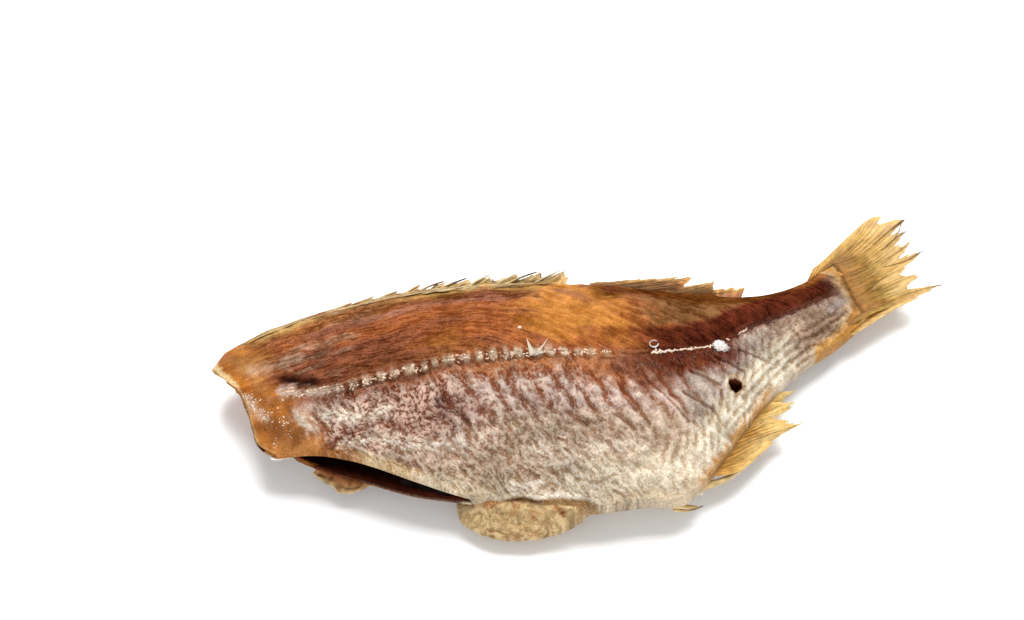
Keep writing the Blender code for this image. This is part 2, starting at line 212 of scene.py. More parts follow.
backEdge = smoothThrough(
    (-125.2, 34.7), (-120, 39.8), (-114, 42.4), (-96, 45.9), (-75, 47.9), (-55, 48.3), (-34, 46.3),
    (-10, 41.8), (10, 37.2), (25, 32.4), (41, 26.8), (54, 23.5), (65, 22.7), (76, 24.3), (95.5, 32.5),
)
bellyEdge = smoothThrough(
    (-112, -4), (-103, -5.5), (-88, -12.7), (-68, -25.5), (-52, -34), (-31, -42.5), (-18, -46.2),
    (0, -48), (13, -49.5), (21, -44.5), (35, -32.5), (50, -19.5), (65, -9.7), (80, -2.8), (95.5, 6),
)
lateralLine = smoothThrough(
    (-108, 16.6), (-98, 15.2), (-85, 12.8), (-65, 12.6), (-49, 12.8), (-39, 11.2), (-23, 8.9),
    (-1, 4.6), (16, 2.3), (29, 2.2), (40, 3), (50, 7.2), (68, 12), (85, 17), (95.5, 20.5),
)
cutEdge = smoothThrough(
    (0, -110), (0.06, -113.9), (0.22, -115.9), (0.36, -116.2), (0.53, -117.7), (0.74, -122),
    (1, -125.2),
)
upperHalf = smoothThrough(
    (-125, 5.5), (-112, 8.5), (-100, 11.8), (-85, 14.6), (-55, 16.5), (-20, 15), (10, 12), (40, 9),
    (65, 6.6), (82, 5.2), (90, 3.6), (95.5, 1.5),
)
lowerHalf = smoothThrough(
    (-125, 9), (-105, 14.5), (-85, 16.5), (-50, 17.2), (-10, 16.6), (20, 13.6), (45, 9.2), (70, 6.2),
    (83, 4.8), (90, 3.4), (95.5, 1.5),
)
swell = smoothThrough((0, 0), (0.1, 0.24), (0.3, 0.55), (0.6, 0.85), (1, 1))
fallUpper = smoothThrough((0.62, 1), (0.8, 0.88), (0.92, 0.58), (0.98, 0.27), (1, 0))
fallLower = smoothThrough((0.6, 1), (0.82, 0.84), (0.93, 0.5), (0.98, 0.24), (1, 0))
slitHalfGap = smoothThrough(
    (-112, 0.6), (-104, 1.6), (-94, 4.2), (-82, 5), (-70, 4), (-60, 1.8), (-53, 0.5),
)
hollowHeight = smoothThrough((-112, 0.44), (-90, 0.42), (-72, 0.36), (-60, 0.22), (-53, 0.06))
hollowHalfWidth = smoothThrough((-112, 5), (-95, 8.2), (-75, 8.8), (-60, 4), (-53, 0.8))
# How far below the lateral line its groove and crusts lie
lineDrop = smoothThrough((-112, 3.0), (-84, 3.0), (-50, 2.6), (-30, 1.8), (60, 1.8))
dorsalReach = smoothThrough((-107, 1.4), (-90, 2.2), (-60, 4.2), (-43, 5.5), (-22, 6.6), (0, 7.4))
skirtLine = smoothThrough(
    (-56, -1), (-46, -0.4), (-42, 1.0), (-38, 2.1), (-34, 1.5), (-26, 2.1), (-17.4, 1.3),
    (-13.5, -0.6), (-8, -1),
)
lineDensity = smoothThrough(
    (-108, 0.1), (-96, 0.4), (-88, 0.3), (-80, 0.6), (-76, 0.9), (-70, 0.6), (-60, 0.8),
    (-52, 0.9), (-38, 0.95), (-14, 0.85), (-8, 0.6), (0, 0.4), (8, 0.1), (14, 0.1), (16, 0.8),
    (36, 0.8), (42, 0.1), (46, 0.4), (53, 0.3), (54, 0),
)
tailArc = smoothThrough(   # where the skin ends on the tail fin, as x at each y
    (-6, 68), (-3, 74), (0.6, 82), (5.9, 88), (11.6, 90.8), (17, 91), (21.6, 89.6), (26, 87), (32, 76),
)

body = {
    "headX": -125.0, "tailBaseX": 95.5, "slitEndX": -53.0,
    "middleFront": 14.5, "middleTail": 9.0, "middleLowersFromX": -20.0,
    "undercut": 11.0, "undercutFades": (-106.0, -62.0), "undercutRisesOver": 0.15,
    "lip": 2.2, "lipRound": 0.7, "closedEdge": 2.4, "ridgeOut": 0.6, "ridgeDown": 1.5,
    "floorSoftness": 1.2, "fullestUpper": 0.62, "fullestLower": 0.6,
    "hollowWidensOver": 0.4, "wallsMeetOver": (0.8, 1), "wallsMeetAt": 0.5,
    "stretches": [(-125.0, -108.0, 28), (-108.0, 58.0, 334), (58.0, 95.5, 56)],
    "capRows": 12, "upperColumns": 164, "lowerColumns": 24, "lipColumns": 3, "hollowStep": 3,
}


def middleHeight(x):
    lowered = blend(x, body["middleLowersFromX"], body["tailBaseX"])
    return mix(body["middleFront"], body["middleTail"], lowered)


def flankX(sliceX, h, recess=0.0):   # h runs from 0 on the belly edge to 1 on the back
    share = (sliceX - body["headX"]) / (body["tailBaseX"] - body["headX"])
    return mix(cutEdge(h) + recess, body["tailBaseX"], share)


def flankY(x, h):
    return mix(bellyEdge(x), backEdge(x), h)


def flankShare(x, y):
    return np.clip((y - bellyEdge(x)) / (backEdge(x) - bellyEdge(x)), 0, 1)


def slitIsOpen(sliceX):
    return flankX(sliceX, 0) < body["slitEndX"]


def undercut(sliceX, h):
    fade = 1 - blend(flankX(sliceX, 0), *body["undercutFades"])
    return body["undercut"] * blend(1 - h, 0, body["undercutRisesOver"]) * fade


def edgeThickness(sliceX, recess):
    lipEdge = slitHalfGap(flankX(sliceX, 0, recess)) + body["lip"]
    return np.where(slitIsOpen(sliceX), lipEdge, body["closedEdge"])


def halfThickness(h, edge, full, fullestAt, fall):
    return np.where(h <= fullestAt, mix(edge, full, swell(h / fullestAt)), full * fall(h))


def skinTop(x, y):   # height of the upper skin before its relief
    return middleHeight(x) + halfThickness(
        flankShare(x, y), body["closedEdge"], upperHalf(x), body["fullestUpper"], fallUpper)


def evenShares(count, fullestAt, fall):   # height shares at even steps along a typical section
    typicalThickness, typicalDepth = 15, 80
    h = np.linspace(0, 1, 2001)
    z = halfThickness(h, body["closedEdge"], typicalThickness, fullestAt, fall)
    arc = np.concatenate(([0], np.cumsum(np.hypot(np.diff(h) * typicalDepth, np.diff(z)))))
    return np.interp(np.linspace(0, arc[-1], count + 1), arc, h)


# the rim colour is a painted highlight and the wall colour painted shade inside the hole
hole = {"at": (40.0, -14.4), "radius": 2.2, "length": 60.0, "sides": 40, "rings": 60,
        "ragged": (0.08, 0.05), "wallWithin": 1.14, "rim": (0.6, 0.42, 0.26),
        "wall": (0.16, 0.035, 0.015), "litRimDepth": 1.2}


# Where the flank's muscles, ripples, folds and crusts lie. Relief and colour both read these.
# A pattern's size in mm is what its x and y are divided by.

grain = {
    "fibresTurnAt": 58.0, "fibresTurnOver": 8.0, "fibreSlope": 0.444,
    "ripplePitch": 7.0, "rippleLean": 0.2, "rippleBow": 0.0045,
    "foldPitch": 3.9, "foldLean": 0.45,
    "cracks": [
        [(9.8, -5.8), (13, -12), (16.5, -17.9), (21, -25.5)], [(26.4, -7.7), (34.8, -14.2)],
        [(36.4, -3.2), (44.7, -10.4)], [(45.4, -2.3), (54.3, -7.7)], [(1.5, -9), (6, -17), (8, -24)],
        [(22, -15), (30, -22), (33, -28)], [(-20, -37.5), (-13, -40), (-8, -39)],
    ],
    "crackWidth": 0.45,
    "rootArc": [(86, 32), (91.5, 29.6), (93.2, 24), (94, 17), (94.2, 10), (92, 3)],
    "scalePitch": 4.6,
}


def flankFields(x, y, seed):
    below = lateralLine(x) - lineDrop(x) * (1 - blend(x, 0, 26)) - y
    inset = backEdge(x) - y
    above = y - bellyEdge(x)
    h = np.clip(above / (above + inset), 0, 1)
    turn = grain["fibresTurnOver"]
    drop = grain["fibreSlope"] * turn * np.log1p(np.exp((x - y + grain["fibresTurnAt"]) / turn))
    sway = 1.6 * hills(x / 15, y / 11, seed) + 0.5 * hills(x / 4, y / 4, seed + 40)
    fibreAcross = y + drop + 0.6 * sway
    rippleAcross = x - grain["rippleLean"] * below - grain["rippleBow"] * below**2 + 1.2 * sway
    foldAcross = x - grain["foldLean"] * above + 0.8 * sway
    muscle = 1 - blend(below + 0.8 * sway, -1, 3)
    tailward = blend(x, 34, 50) * (1 - muscle)
    ripplewise = (1 - muscle) * (1 - tailward)
    flowAlong = x * muscle + below * ripplewise + x * tailward
    flowAcross = fibreAcross * muscle + rippleAcross * ripplewise + above * tailward
    ripplePhase = rippleAcross / grain["ripplePitch"] + 0.22 * roughHills(x / 6, y / 9, seed + 43)
    foldPhase = foldAcross / grain["foldPitch"] + 0.25 * roughHills(x / 5, y / 4, seed + 44)
    crustWall = cells(x / 3.8 + 0.8 * sway, y / 1.8 + 0.6 * sway, seed + 14)[1]
    broken = np.clip(0.6 + 0.9 * roughHills(x / 7, y / 5, seed + 17), 0, 1.3)
    bent = 0.5 * roughHills(x / 4, y / 4, seed + 51)
    crumple = 1 - pillows(rippleAcross / 3.0 + bent, below / 5.5 + 0.6 * bent, seed + 11, 4)
    scales = cells(rippleAcross / 1.9 + bent, below / 3.3 + bent, seed + 61)[1]
    edgePhase = above / 3.3 + 0.35 * roughHills(x / 9, y / 5, seed + 71)
    fromSkirt = above - skirtLine(x) + 0.5 * sway
    clumpPhase = 2 * math.pi * x / grain["scalePitch"] + 2.5 * hills(x / 8, 0 * y, seed + 75)
    clumpBand = hump(below + 0.8 * roughHills(x / 2, y / 2, seed + 77), 0, 1.6)
    cracks = [toLine(x + 0.3 * sway, y + 0.5 * sway, line) for line in grain["cracks"]]
    return {
        "x": x, "y": y, "below": below, "inset": inset, "above": above, "h": h,
        "fromCut": x - cutEdge(h), "fromArc": x - tailArc(y), "rootArc": toLine(x, y, grain["rootArc"]),
        "fromHole": np.hypot(x - hole["at"][0], y - hole["at"][1]) - hole["radius"],
        "flowAlong": flowAlong, "flowAcross": flowAcross, "muscle": muscle,
        "skin": (1 - muscle) * between(x, (-99, -90, 84, 91)),
        "fibre": even(pillows(flowAlong / 11, flowAcross / 1.7, seed + 2, 3)),
        "bundle": even(roughHills(flowAlong / 20, flowAcross / 4.2, seed + 6, 3)),
        "ripple": even(np.abs(np.sin(math.pi * ripplePhase))),
        "ripples": between(x, (-66, -50, 26, 44)) * between(below, (3, 8, 20, 40)) * broken,
        "fold": even(np.sin(math.pi * foldPhase) ** 2),
        "folds": between(x, (2, 14, 54, 66)) * between(above, (1, 5, 15, 25)) * broken,
        "edgeFold": even(np.sin(math.pi * edgePhase) ** 2),
        "edgeFolds": between(x, (30, 40, 82, 90)) * between(above, (0, 1.2, 8, 13)),
        "lineClump": lineDensity(x) * (x < 10) * clumpBand * blend(np.sin(clumpPhase) + broken, 0.1, 0.9),
        "crumple": even(crumple), "scales": even(np.clip(scales, 0, 0.35)),
        "crustWall": crustWall,
        "crusts": between(x, (-97, -91, -52, -38)) * between(below, (4, 8, 21, 28)),
        "crack": sum(hump(away, 0, grain["crackWidth"]) for away in cracks),
        "skirt": between(x, (-50, -44, -16, -12)) * (1 - blend(fromSkirt, -0.5, 0.5)),
        "skirtEdge": between(x, (-46, -40, -18, -13)) * hump(fromSkirt, 0.8, 0.7),
        "skirtGap": between(x, (-44, -40, -34, -30)) * hump(fromSkirt, -0.4, 0.5),
        "mottle": even(roughHills(x / 3.2, y / 3.2, seed + 20, 4)),
        "patch": even(roughHills(x / 13, y / 9, seed + 24)),
    }


# Heights in mm: those of the evened patterns are their usual heights, the others their most
relief = {
    "groove": 0.6, "grooveWidth": 2.6, "grooveStarts": (-112, -100),
    "nape": 1.6, "napeAt": (-96.0, 3.0), "napeReach": (10.0, 2.2),
    "backValley": 1.0, "valleyInset": 10.5, "valleyWidth": 2.6, "valleyEnds": (-112.0, -95.0, -35.0, -8.0),
    "ripple": 0.42, "fold": 0.15, "edgeFold": 0.15, "rootArc": 0.3, "rootArcWidth": 1.2,
    "fibre": 0.06, "bundle": 0.13, "crumple": 0.26, "scales": 0.06,
    "smoother": 0.55, "smootherFrom": (-25, 12),   # the skin crumples less towards the tail
    "crust": 0.25, "mottle": 0.05, "patch": 0.2, "crack": 0.5,
    "skirt": 0.9, "skirtEdge": 0.4, "settle": -0.35, "edgeFade": 0.03, "most": 0.6,
    "leastAtCut": 0.05, "leastBeyond": 2.45, "thinWall": (10, 26),   # shallow where the wall is thin
}


def skinRelief(f):
    groove = hump(f["below"], 0, relief["grooveWidth"])
    height = -relief["groove"] * groove * blend(f["x"], *relief["grooveStarts"])
    nape = hump(f["x"], relief["napeAt"][0], relief["napeReach"][0])
    height = height - relief["nape"] * nape * hump(-f["below"], relief["napeAt"][1], relief["napeReach"][1])
    valley = hump(f["inset"], relief["valleyInset"], relief["valleyWidth"])
    height = height - relief["backValley"] * valley * between(f["x"], relief["valleyEnds"])
    for wave in ("ripple", "fold", "edgeFold"):
        height = height + relief[wave] * f[wave] * f[wave + "s"]
    height = height + relief["rootArc"] * hump(f["rootArc"], 0, relief["rootArcWidth"])
    height = height + (relief["fibre"] * f["fibre"] + relief["bundle"] * f["bundle"]) * f["muscle"]
    calm = 1 - relief["smoother"] * blend(f["x"], *relief["smootherFrom"])
    height = height + (relief["crumple"] * f["crumple"] + relief["scales"] * f["scales"]) * f["skin"] * calm
    height = height + relief["crust"] * (blend(f["crustWall"], 0, 0.3) - 0.6) * f["crusts"]
    height = height + relief["mottle"] * f["mottle"] + relief["patch"] * f["patch"]
    height = height - relief["crack"] * f["crack"]
    fade = blend(f["h"], 0, relief["edgeFade"]) * blend(1 - f["h"], 0, relief["edgeFade"])
    least = -relief["leastAtCut"] - relief["leastBeyond"] * blend(f["fromCut"], *relief["thinWall"])
    height = np.clip((height + relief["settle"]) * fade, least, relief["most"])
    step = relief["skirtEdge"] * f["skirtEdge"] - relief["skirt"] * (f["skirt"] + 0.4 * f["skirtGap"])
    return height + step * blend(f["above"], -0.5, 0.6)


# Colours of the dried flesh and skin: a ridge colour first, then a crease colour. The ridge colour is partly
# a painted highlight and the crease colour partly painted shade, over the flesh's own light and dark tones

palette = {
    "mauve": (0.64, 0.48, 0.4, 0.25, 0.085, 0.04), "tan": (0.62, 0.475, 0.345, 0.27, 0.15, 0.08),
    "cream": (0.8, 0.67, 0.48, 0.42, 0.28, 0.15), "ivory": (0.88, 0.8, 0.66, 0.52, 0.4, 0.26),
    "silver": (0.47, 0.385, 0.315, 0.19, 0.117, 0.08), "smoke": (0.38, 0.25, 0.17, 0.14, 0.065, 0.036),
    "lilac": (0.72, 0.54, 0.45, 0.32, 0.14, 0.08), "violet": (0.48, 0.3, 0.23, 0.17, 0.055, 0.035),
    "frost": (0.84, 0.54, 0.42, 0.17, 0.042, 0.018), "ember": (0.52, 0.195, 0.07, 0.25, 0.062, 0.018),
    "maroon": (0.27, 0.095, 0.05, 0.11, 0.025, 0.012), "rust": (0.46, 0.142, 0.04, 0.23, 0.054, 0.013),
    "umber": (0.3, 0.098, 0.046, 0.11, 0.023, 0.008), "bark": (0.25, 0.09, 0.03, 0.09, 0.024, 0.006),
    "goldBrown": (0.5, 0.2, 0.06, 0.21, 0.062, 0.015), "pink": (0.4, 0.165, 0.1, 0.18, 0.05, 0.024),
    "orange": (0.62, 0.25, 0.045, 0.4, 0.135, 0.02), "tanGold": (0.26, 0.12, 0.04, 0.12, 0.04, 0.011),
    "olive": (0.155, 0.048, 0.008, 0.06, 0.014, 0.002), "liver": (0.13, 0.026, 0.011, 0.035, 0.006, 0.003),
    "amber": (0.58, 0.205, 0.022, 0.26, 0.062, 0.005), "honey": (0.56, 0.27, 0.08, 0.34, 0.12, 0.025),
    "paleCut": (0.88, 0.66, 0.34, 0.62, 0.4, 0.15), "toffee": (0.42, 0.15, 0.026, 0.24, 0.07, 0.01),
    "soot": (0.03, 0.008, 0.004, 0.012, 0.003, 0.002), "gold": (0.56, 0.28, 0.055, 0.34, 0.13, 0.02),
    "sand": (0.72, 0.52, 0.26, 0.38, 0.21, 0.07), "hazel": (0.3, 0.2, 0.13, 0.13, 0.06, 0.035),
    "straw": (0.62, 0.375, 0.1, 0.45, 0.24, 0.06), "shell": (1.0, 0.9, 0.76, 0.5, 0.34, 0.22),
    "plum": (0.22, 0.1, 0.075, 0.09, 0.03, 0.02), "haze": (0.66, 0.5, 0.36, 0.4, 0.23, 0.12),
    "pearl": (0.95, 0.78, 0.65, 0.5, 0.22, 0.12), "tipStraw": (0.7, 0.46, 0.17, 0.6, 0.4, 0.15),
    "glow": (0.95, 0.6, 0.21, 0.5, 0.3, 0.1),
    "wrinkle": (0.7, 0.49, 0.22, 0.2, 0.11, 0.04), "mist": (0.46, 0.41, 0.4, 0.22, 0.18, 0.17),
}

# colour, measured from, its ends along x, its ends across, how strongly, how ragged in mm
paintLayers = [
    ("tan", "below", (-130, -129, 110, 120), (18, 26, 70, 80), 0.9, 5),
    ("frost", "below", (-95, -88, -56, -44), (5, 9, 20, 26), 0.85, 4),
    ("rust", "below", (-130, -124, 30, 48), (-70, -60, -1, 3), 1.0, 3),
    ("umber", "below", (-119, -106, -66, -40), (-17, -14, 2, 8), 0.92, 3),
    ("bark", "below", (-100, -90, -40, -20), (-9, -6, -3, -1), 0.6, 3),
    ("ember", "below", (-54, -40, 24, 38), (-2, 0, 6, 11), 0.95, 4),
    ("ember", "below", (-18, -6, 26, 38), (-1, 0, 10, 15), 0.8, 4),
    ("ember", "below", (-74, -62, -24, -12), (0, 1, 4, 8), 0.7, 2.5),
    ("umber", "below", (-98, -90, -60, -50), (0.5, 1.4, 3, 5), 0.6, 2),
    ("maroon", "below", (-2, 8, 32, 42), (0, 2, 13, 18), 0.85, 3),
    ("orange", "below", (-30, -14, 6, 18), (-70, -60, -9, -3), 1.0, 4),
    ("rust", "below", (-14, 0, 30, 40), (-12, -9, -3, 0), 0.8, 3),
    ("umber", "below", (22, 34, 110, 120), (-70, -60, -1, 1), 1.0, 1),
    ("tanGold", "below", (8, 24, 84, 92), (-26, -22, -10, -7), 0.95, 3),
    ("goldBrown", "inset", (-130, -118, -22, -12), (-6, -5, 9, 13), 0.92, 2),
    ("straw", "inset", (-122, -110, -18, -8), (-6, -5, 6.4, 8.4), 0.8, 1.2),
    ("goldBrown", "inset", (-20, -8, 56, 66), (-6, -5, 0, 3), 0.7, 1.2),
    ("bark", "inset", (-91, -86, -60, -50), (1, 3, 8, 11), 0.7, 4),
    ("bark", "inset", (-50, -42, -17, -12), (6, 8, 12, 14), 0.85, 2),
    ("pink", "inset", (-96, -90, -60, -46), (12, 13.5, 16, 18), 0.8, 1.5),
    ("pink", "inset", (-62, -50, -28, -18), (9, 10.5, 13, 15), 0.7, 1.5),
    ("olive", "inset", (0, 8, 66, 84), (-6, -5, 6, 12), 0.92, 3),
    ("silver", "below", (14, 28, 99, 100), (9, 13, 70, 80), 0.9, 3),
    ("silver", "below", (42, 50, 99, 100), (2.6, 4.6, 70, 80), 0.9, 1.4),
    ("liver", "below", (4, 22, 42, 50), (-10, -7, 8, 13), 0.94, 2),
    ("liver", "below", (36, 44, 86, 91), (-9, -7.2, 2, 4), 0.95, 1.2),
    ("smoke", "below", (52, 62, 90, 95), (2.4, 3.6, 12, 19), 0.95, 3),
    ("smoke", "fromArc", (74, 78, 99, 100), (-8, -4, 0, 2), 0.4, 1.5),
    ("cream", "above", (-66, -50, -22, -8), (-3, -2, 3, 9), 0.75, 4),
    ("cream", "above", (-22, -6, 24, 36), (-3, -2, 9, 19), 0.9, 6),
    ("ivory", "above", (-34, -22, 14, 26), (2, 4, 9, 17), 0.6, 7),
    ("cream", "above", (14, 26, 58, 70), (-3, -2, 9, 17), 0.9, 4),
    ("ivory", "above", (14, 24, 58, 70), (-3, -2, 9, 15), 0.75, 4),
    ("smoke", "above", (56, 70, 90, 95), (-3, -2, 8, 13), 0.75, 3),
    ("hazel", "above", (70, 78, 92, 96), (-3, -2, 8, 12), 0.95, 2),
    ("cream", "above", (56, 64, 88, 94), (-3, -2, 1.5, 3.5), 0.6, 1.5),
    ("lilac", "below", (-56, -48, -20, -6), (9, 12, 18, 24), 0.4, 6),
    ("violet", "below", (-97, -93, -60, -50), (17, 18.2, 20, 22), 0.7, 1.5),
    ("violet", "below", (-64, -58, -46, -38), (12, 15, 21, 25), 0.6, 4),
    ("lilac", "below", (-78, -70, -44, -36), (21, 24, 30, 34), 0.5, 4),
    ("cream", "above", (-92, -82, -50, -46), (-3, -2, 1.8, 4.4), 0.95, 1.2),
    ("sand", "above", (-96, -90, -72, -66), (-3, -2, 1.6, 3.6), 0.7, 1.2),
    ("gold", "above", (16, 22, 46, 56), (-3, -2, 0.4, 4.2), 0.9, 3.5),
    ("amber", "fromCut", (-130, -129, -96, -88), (-2, -1, 11, 19), 0.95, 3),
    ("honey", "below", (-113, -107, -97, -91), (6, 10, 18, 24), 0.7, 3),
    ("toffee", "above", (-118, -112, -96, -90), (3, 5, 9, 12), 0.6, 3),
    ("bark", "fromCut", (-130, -129, -104, -98), (9, 12, 16, 22), 0.55, 6),
    ("umber", "fromCut", (-130, -129, -100, -96), (3, 5, 7, 10), 0.35, 5),
    ("toffee", "above", (-118, -116, -100, -94), (-3, -2, 1, 4), 0.85, 0.6),
    ("toffee", "above", (-101, -97, -88, -82), (-3, -2, 2, 4), 0.9, 1),
    ("soot", "below", (-106, -102, -95, -91), (-5.2, -3.8, -2.6, -1.4), 0.8, 1.5),
    ("paleCut", "fromCut", (-130, -129, -118.4, -116.6), (-2, -1, 0.9, 2.0), 0.95, 0.8),
    ("sand", "fromCut", (-120, -118, -112, -109), (-2, -1, 0.5, 1.1), 0.8, 0.6),
    ("honey", "fromCut", (-117, -115, -108, -104), (-2, -1, 0.6, 1.6), 0.7, 0.6),
    ("toffee", "inset", (68, 82, 99, 100), (-6, -5, 2, 5.5), 0.85, 1.2),
    ("sand", "fromArc", (70, 72, 99, 100), (-4, -1, 3, 6), 0.7, 2),
    ("gold", "fromArc", (70, 72, 99, 100), (-1.6, 2.4, 60, 70), 0.95, 2),
    ("gold", "above", (76, 84, 99, 100), (-3, -2, 1.5, 3), 0.85, 1),
    ("toffee", "fromArc", (74, 76, 99, 100), (-0.8, 0, 0.8, 2), 0.5, 1.2),
    ("cream", "fromHole", (33, 34, 46, 47), (-1.6, -1, 0.7, 1.5), 0.85, 0.7),
    ("honey", "fromHole", (39, 41, 46, 47), (0.6, 1, 1.3, 2.2), 0.5, 0.6),
]

# colour, the line that it follows, how wide in mm, how strongly, how ragged in mm
paintStrokes = [
    ("shell", [(-94, 2.5), (-86, -0.6), (-79, -3.6), (-74, -2.5)], 2.4, 0.85, 2.5),
    ("umber", [(-94, -7.3), (-85.8, -6.3), (-76.6, -5.6), (-70, -8.7)], 1.1, 0.8, 1.5),
    # painted highlights: the next three pale strokes on the lower flank and belly
    ("shell", [(-88, -8.9), (-78.4, -9.7), (-71.2, -13.8), (-62.2, -16.8), (-52.9, -18.3)], 1.5, 0.75, 3),
    ("shell", [(-41, -34.2), (-35, -36.6), (-30, -36.6)], 1.4, 0.85, 1.5),
    ("shell", [(-30, -25), (-23, -29.9), (-10, -29.4), (2.6, -31.7)], 2.0, 0.65, 3.5),
    ("plum", [(-56, -4), (-52, -7), (-48.5, -10.5)], 2.4, 0.75, 2.5),
    ("plum", [(-32, -7), (-25, -12.4)], 1.6, 0.6, 2),
    ("plum", [(-21, -14), (-15, -20), (-8, -21.4)], 1.6, 0.5, 2),
    ("honey", [(-115, 29.5), (-111.3, 24.5), (-109.9, 19)], 2.4, 0.75, 2),
    ("haze", [(-112, 26), (-104, 24.5), (-97, 25)], 2.0, 0.5, 3),
    ("umber", [(-106, 20.5), (-99, 17.0), (-90, 13.6), (-83, 12.4)], 3.0, 0.9, 2),
    ("soot", [(-102.4, 18.4), (-98, 16.4), (-94.6, 15.0)], 2.1, 0.97, 1.2),
    ("pearl", [(-104, 15.0), (-99, 13.0), (-93, 10.4), (-87, 9.6)], 1.4, 0.85, 1.8),
    ("shell", [(-101.4, 5.5), (-99.0, 2.0), (-97.4, -1.0)], 1.3, 0.9, 1.6),
    ("umber", [(-96.6, 4.5), (-95.0, 1.0), (-94.4, -2.5)], 0.9, 0.85, 1.6),
    ("honey", [(-118.5, 33), (-114, 31), (-109, 29.5)], 2.0, 0.6, 2),
    ("honey", [(-108, -3.5), (-102, -5.4), (-96, -6.0)], 1.6, 0.6, 1.4),
    ("cream", [(42.9, -12.6), (43.2, -15.2), (41.6, -17.4)], 0.9, 0.85, 0.6),
    ("bark", [(-111.5, 6), (-106, 1.5), (-103, -2)], 2.6, 0.6, 3),
    ("haze", [(-115.3, 17), (-114, 12.5), (-111, 7.5)], 1.5, 0.6, 1.8),
    ("mist", [(82, 9.5), (86, 11.5), (88.6, 12.6)], 2.0, 0.5, 1.6),
    ("sand", [(89.4, 29.4), (91.6, 23.1), (92.6, 16.2), (93, 10.4), (92, 4)], 0.9, 0.6, 1),
    ("toffee", [(91.5, 31), (94, 25)], 1.3, 0.8, 1),
    ("toffee", [(95, 22), (94.6, 16)], 0.9, 0.7, 1),
    ("toffee", [(95, 12), (95.4, 6)], 0.9, 0.7, 1),
]


def cover(tint, colour, amount):
    return mix(tint, np.array(palette[colour]), np.clip(amount, 0, 1)[..., None])


def paintFlank(f, seed):   # six numbers for each spot: its ridge colour, partly painted highlight, then its crease colour, partly painted shade
    tint = np.broadcast_to(np.array(palette["mauve"]), f["x"].shape + (6,)).copy()
    for number, (colour, measure, alongEnds, acrossEnds, strength, ragged) in enumerate(paintLayers):
        wander = ragged * roughHills(f["flowAlong"] / 8, f["flowAcross"] / 2.6, seed + 31 * number, 4)
        along = between(f["x"] + 2 * wander, alongEnds)
        across = between(f[measure] + wander, acrossEnds)
        tint = cover(tint, colour, strength * along * across)
    bare = f["muscle"] * between(f["x"], (-112, -100, 4, 24))
    tint = cover(tint, "umber", 0.7 * bare * blend(f["bundle"], 0.3, 1.6))
    forward = 1 - blend(f["x"], -84, -60)
    tint = cover(tint, "tan", 0.4 * bare * blend(-f["bundle"], 0.4, 1.6) * forward)
    midway = between(f["x"], (-80, -50, 10, 20))
    tint = cover(tint, "orange", 0.4 * bare * blend(-f["bundle"], 0.6, 1.8) * midway)
    for number, (colour, knots, width, strength, ragged) in enumerate(paintStrokes):
        wander = ragged * roughHills(f["flowAlong"] / 3, f["flowAcross"] / 1.7, seed + 17 * number, 3)
        away = np.maximum(toLine(f["x"], f["y"], knots) + wander, 0)
        tint = cover(tint, colour, strength * hump(away, 0, width))
    tint = cover(tint, "cream", 0.9 * f["lineClump"])
    # painted highlight: pale pearl on the ripple crests
    crestHighlight = f["ripples"] * (1 - blend(f["x"], 6, 22)) * blend(f["ripple"], 0.0, 1.1)
    tint = cover(tint, "pearl", 0.55 * (crestHighlight * blend(f["mottle"] + f["patch"], -1.0, 1.0)))
    # painted shade: darker ember in the ripple troughs
    troughShade = f["ripples"] * blend(-f["ripple"], 0.3, 1.8) * (1 - blend(f["below"], 16, 26))
    tint = cover(tint, "ember", 0.55 * troughShade)
    tint = cover(tint, "sand", 0.95 * f["skirt"])
    tint = cover(tint, "goldBrown", 0.5 * f["skirt"] * blend(f["mottle"], 0.2, 1.4))
    # partly painted highlight: the skirt's edge is painted pale, as a pale rim and a glossy white highlight
    tint = cover(tint, "shell", 0.8 * f["skirtEdge"] * blend(f["mottle"], -0.5, 0.5))
    # painted shade: the gap under the skirt is darkened
    tint = cover(tint, "bark", 0.9 * f["skirtGap"])
    shade = 1 + 0.07 * f["mottle"] + 0.07 * f["patch"]
    return tint * np.clip(shade, 0.5, 1.5)[..., None]


def ridgeLightShare(f, rise):   # how far each spot shows its ridge colour rather than its crease colour: painted light on the relief, with the flesh's own fibres, crusts and cracks
    # painted light: relief above its blurred self gets the lit ridge colour, relief below it the shaded
    # crease colour
    fine = rise - blurred(rise, 2)
    broad = rise - blurred(rise, 7)
    share = 0.52 + 0.15 * np.clip(fine / 0.1, -1.5, 1.5) + 0.13 * np.clip(broad / 0.3, -1.5, 1.5)
    share = share + 0.12 * (f["bundle"] + f["fibre"]) * f["muscle"] + 0.2 * f["ripple"] * f["ripples"]
    share = share + 0.16 * f["fold"] * f["folds"] + 0.2 * f["edgeFold"] * f["edgeFolds"]
    share = share + 0.55 * f["crusts"] * (blend(f["crustWall"], 0, 0.16) - 0.85)
    share = share + 0.05 * f["skin"] * blend(f["x"], -20, 20) + 0.4 * f["lineClump"]
    share = share + 0.1 * f["skin"] * (1 - blend(f["x"], -20, 12)) * f["crumple"]
    return share - 0.6 * f["crack"]


# The body: slices from the head cut to the tail base, each a loop round the outside and the hollow

hollowLook = {"lips": (0.11, 0.022, 0.01), "inside": (0.012, 0.004, 0.003), "mottle": 0.6, "lumps": 0.25}


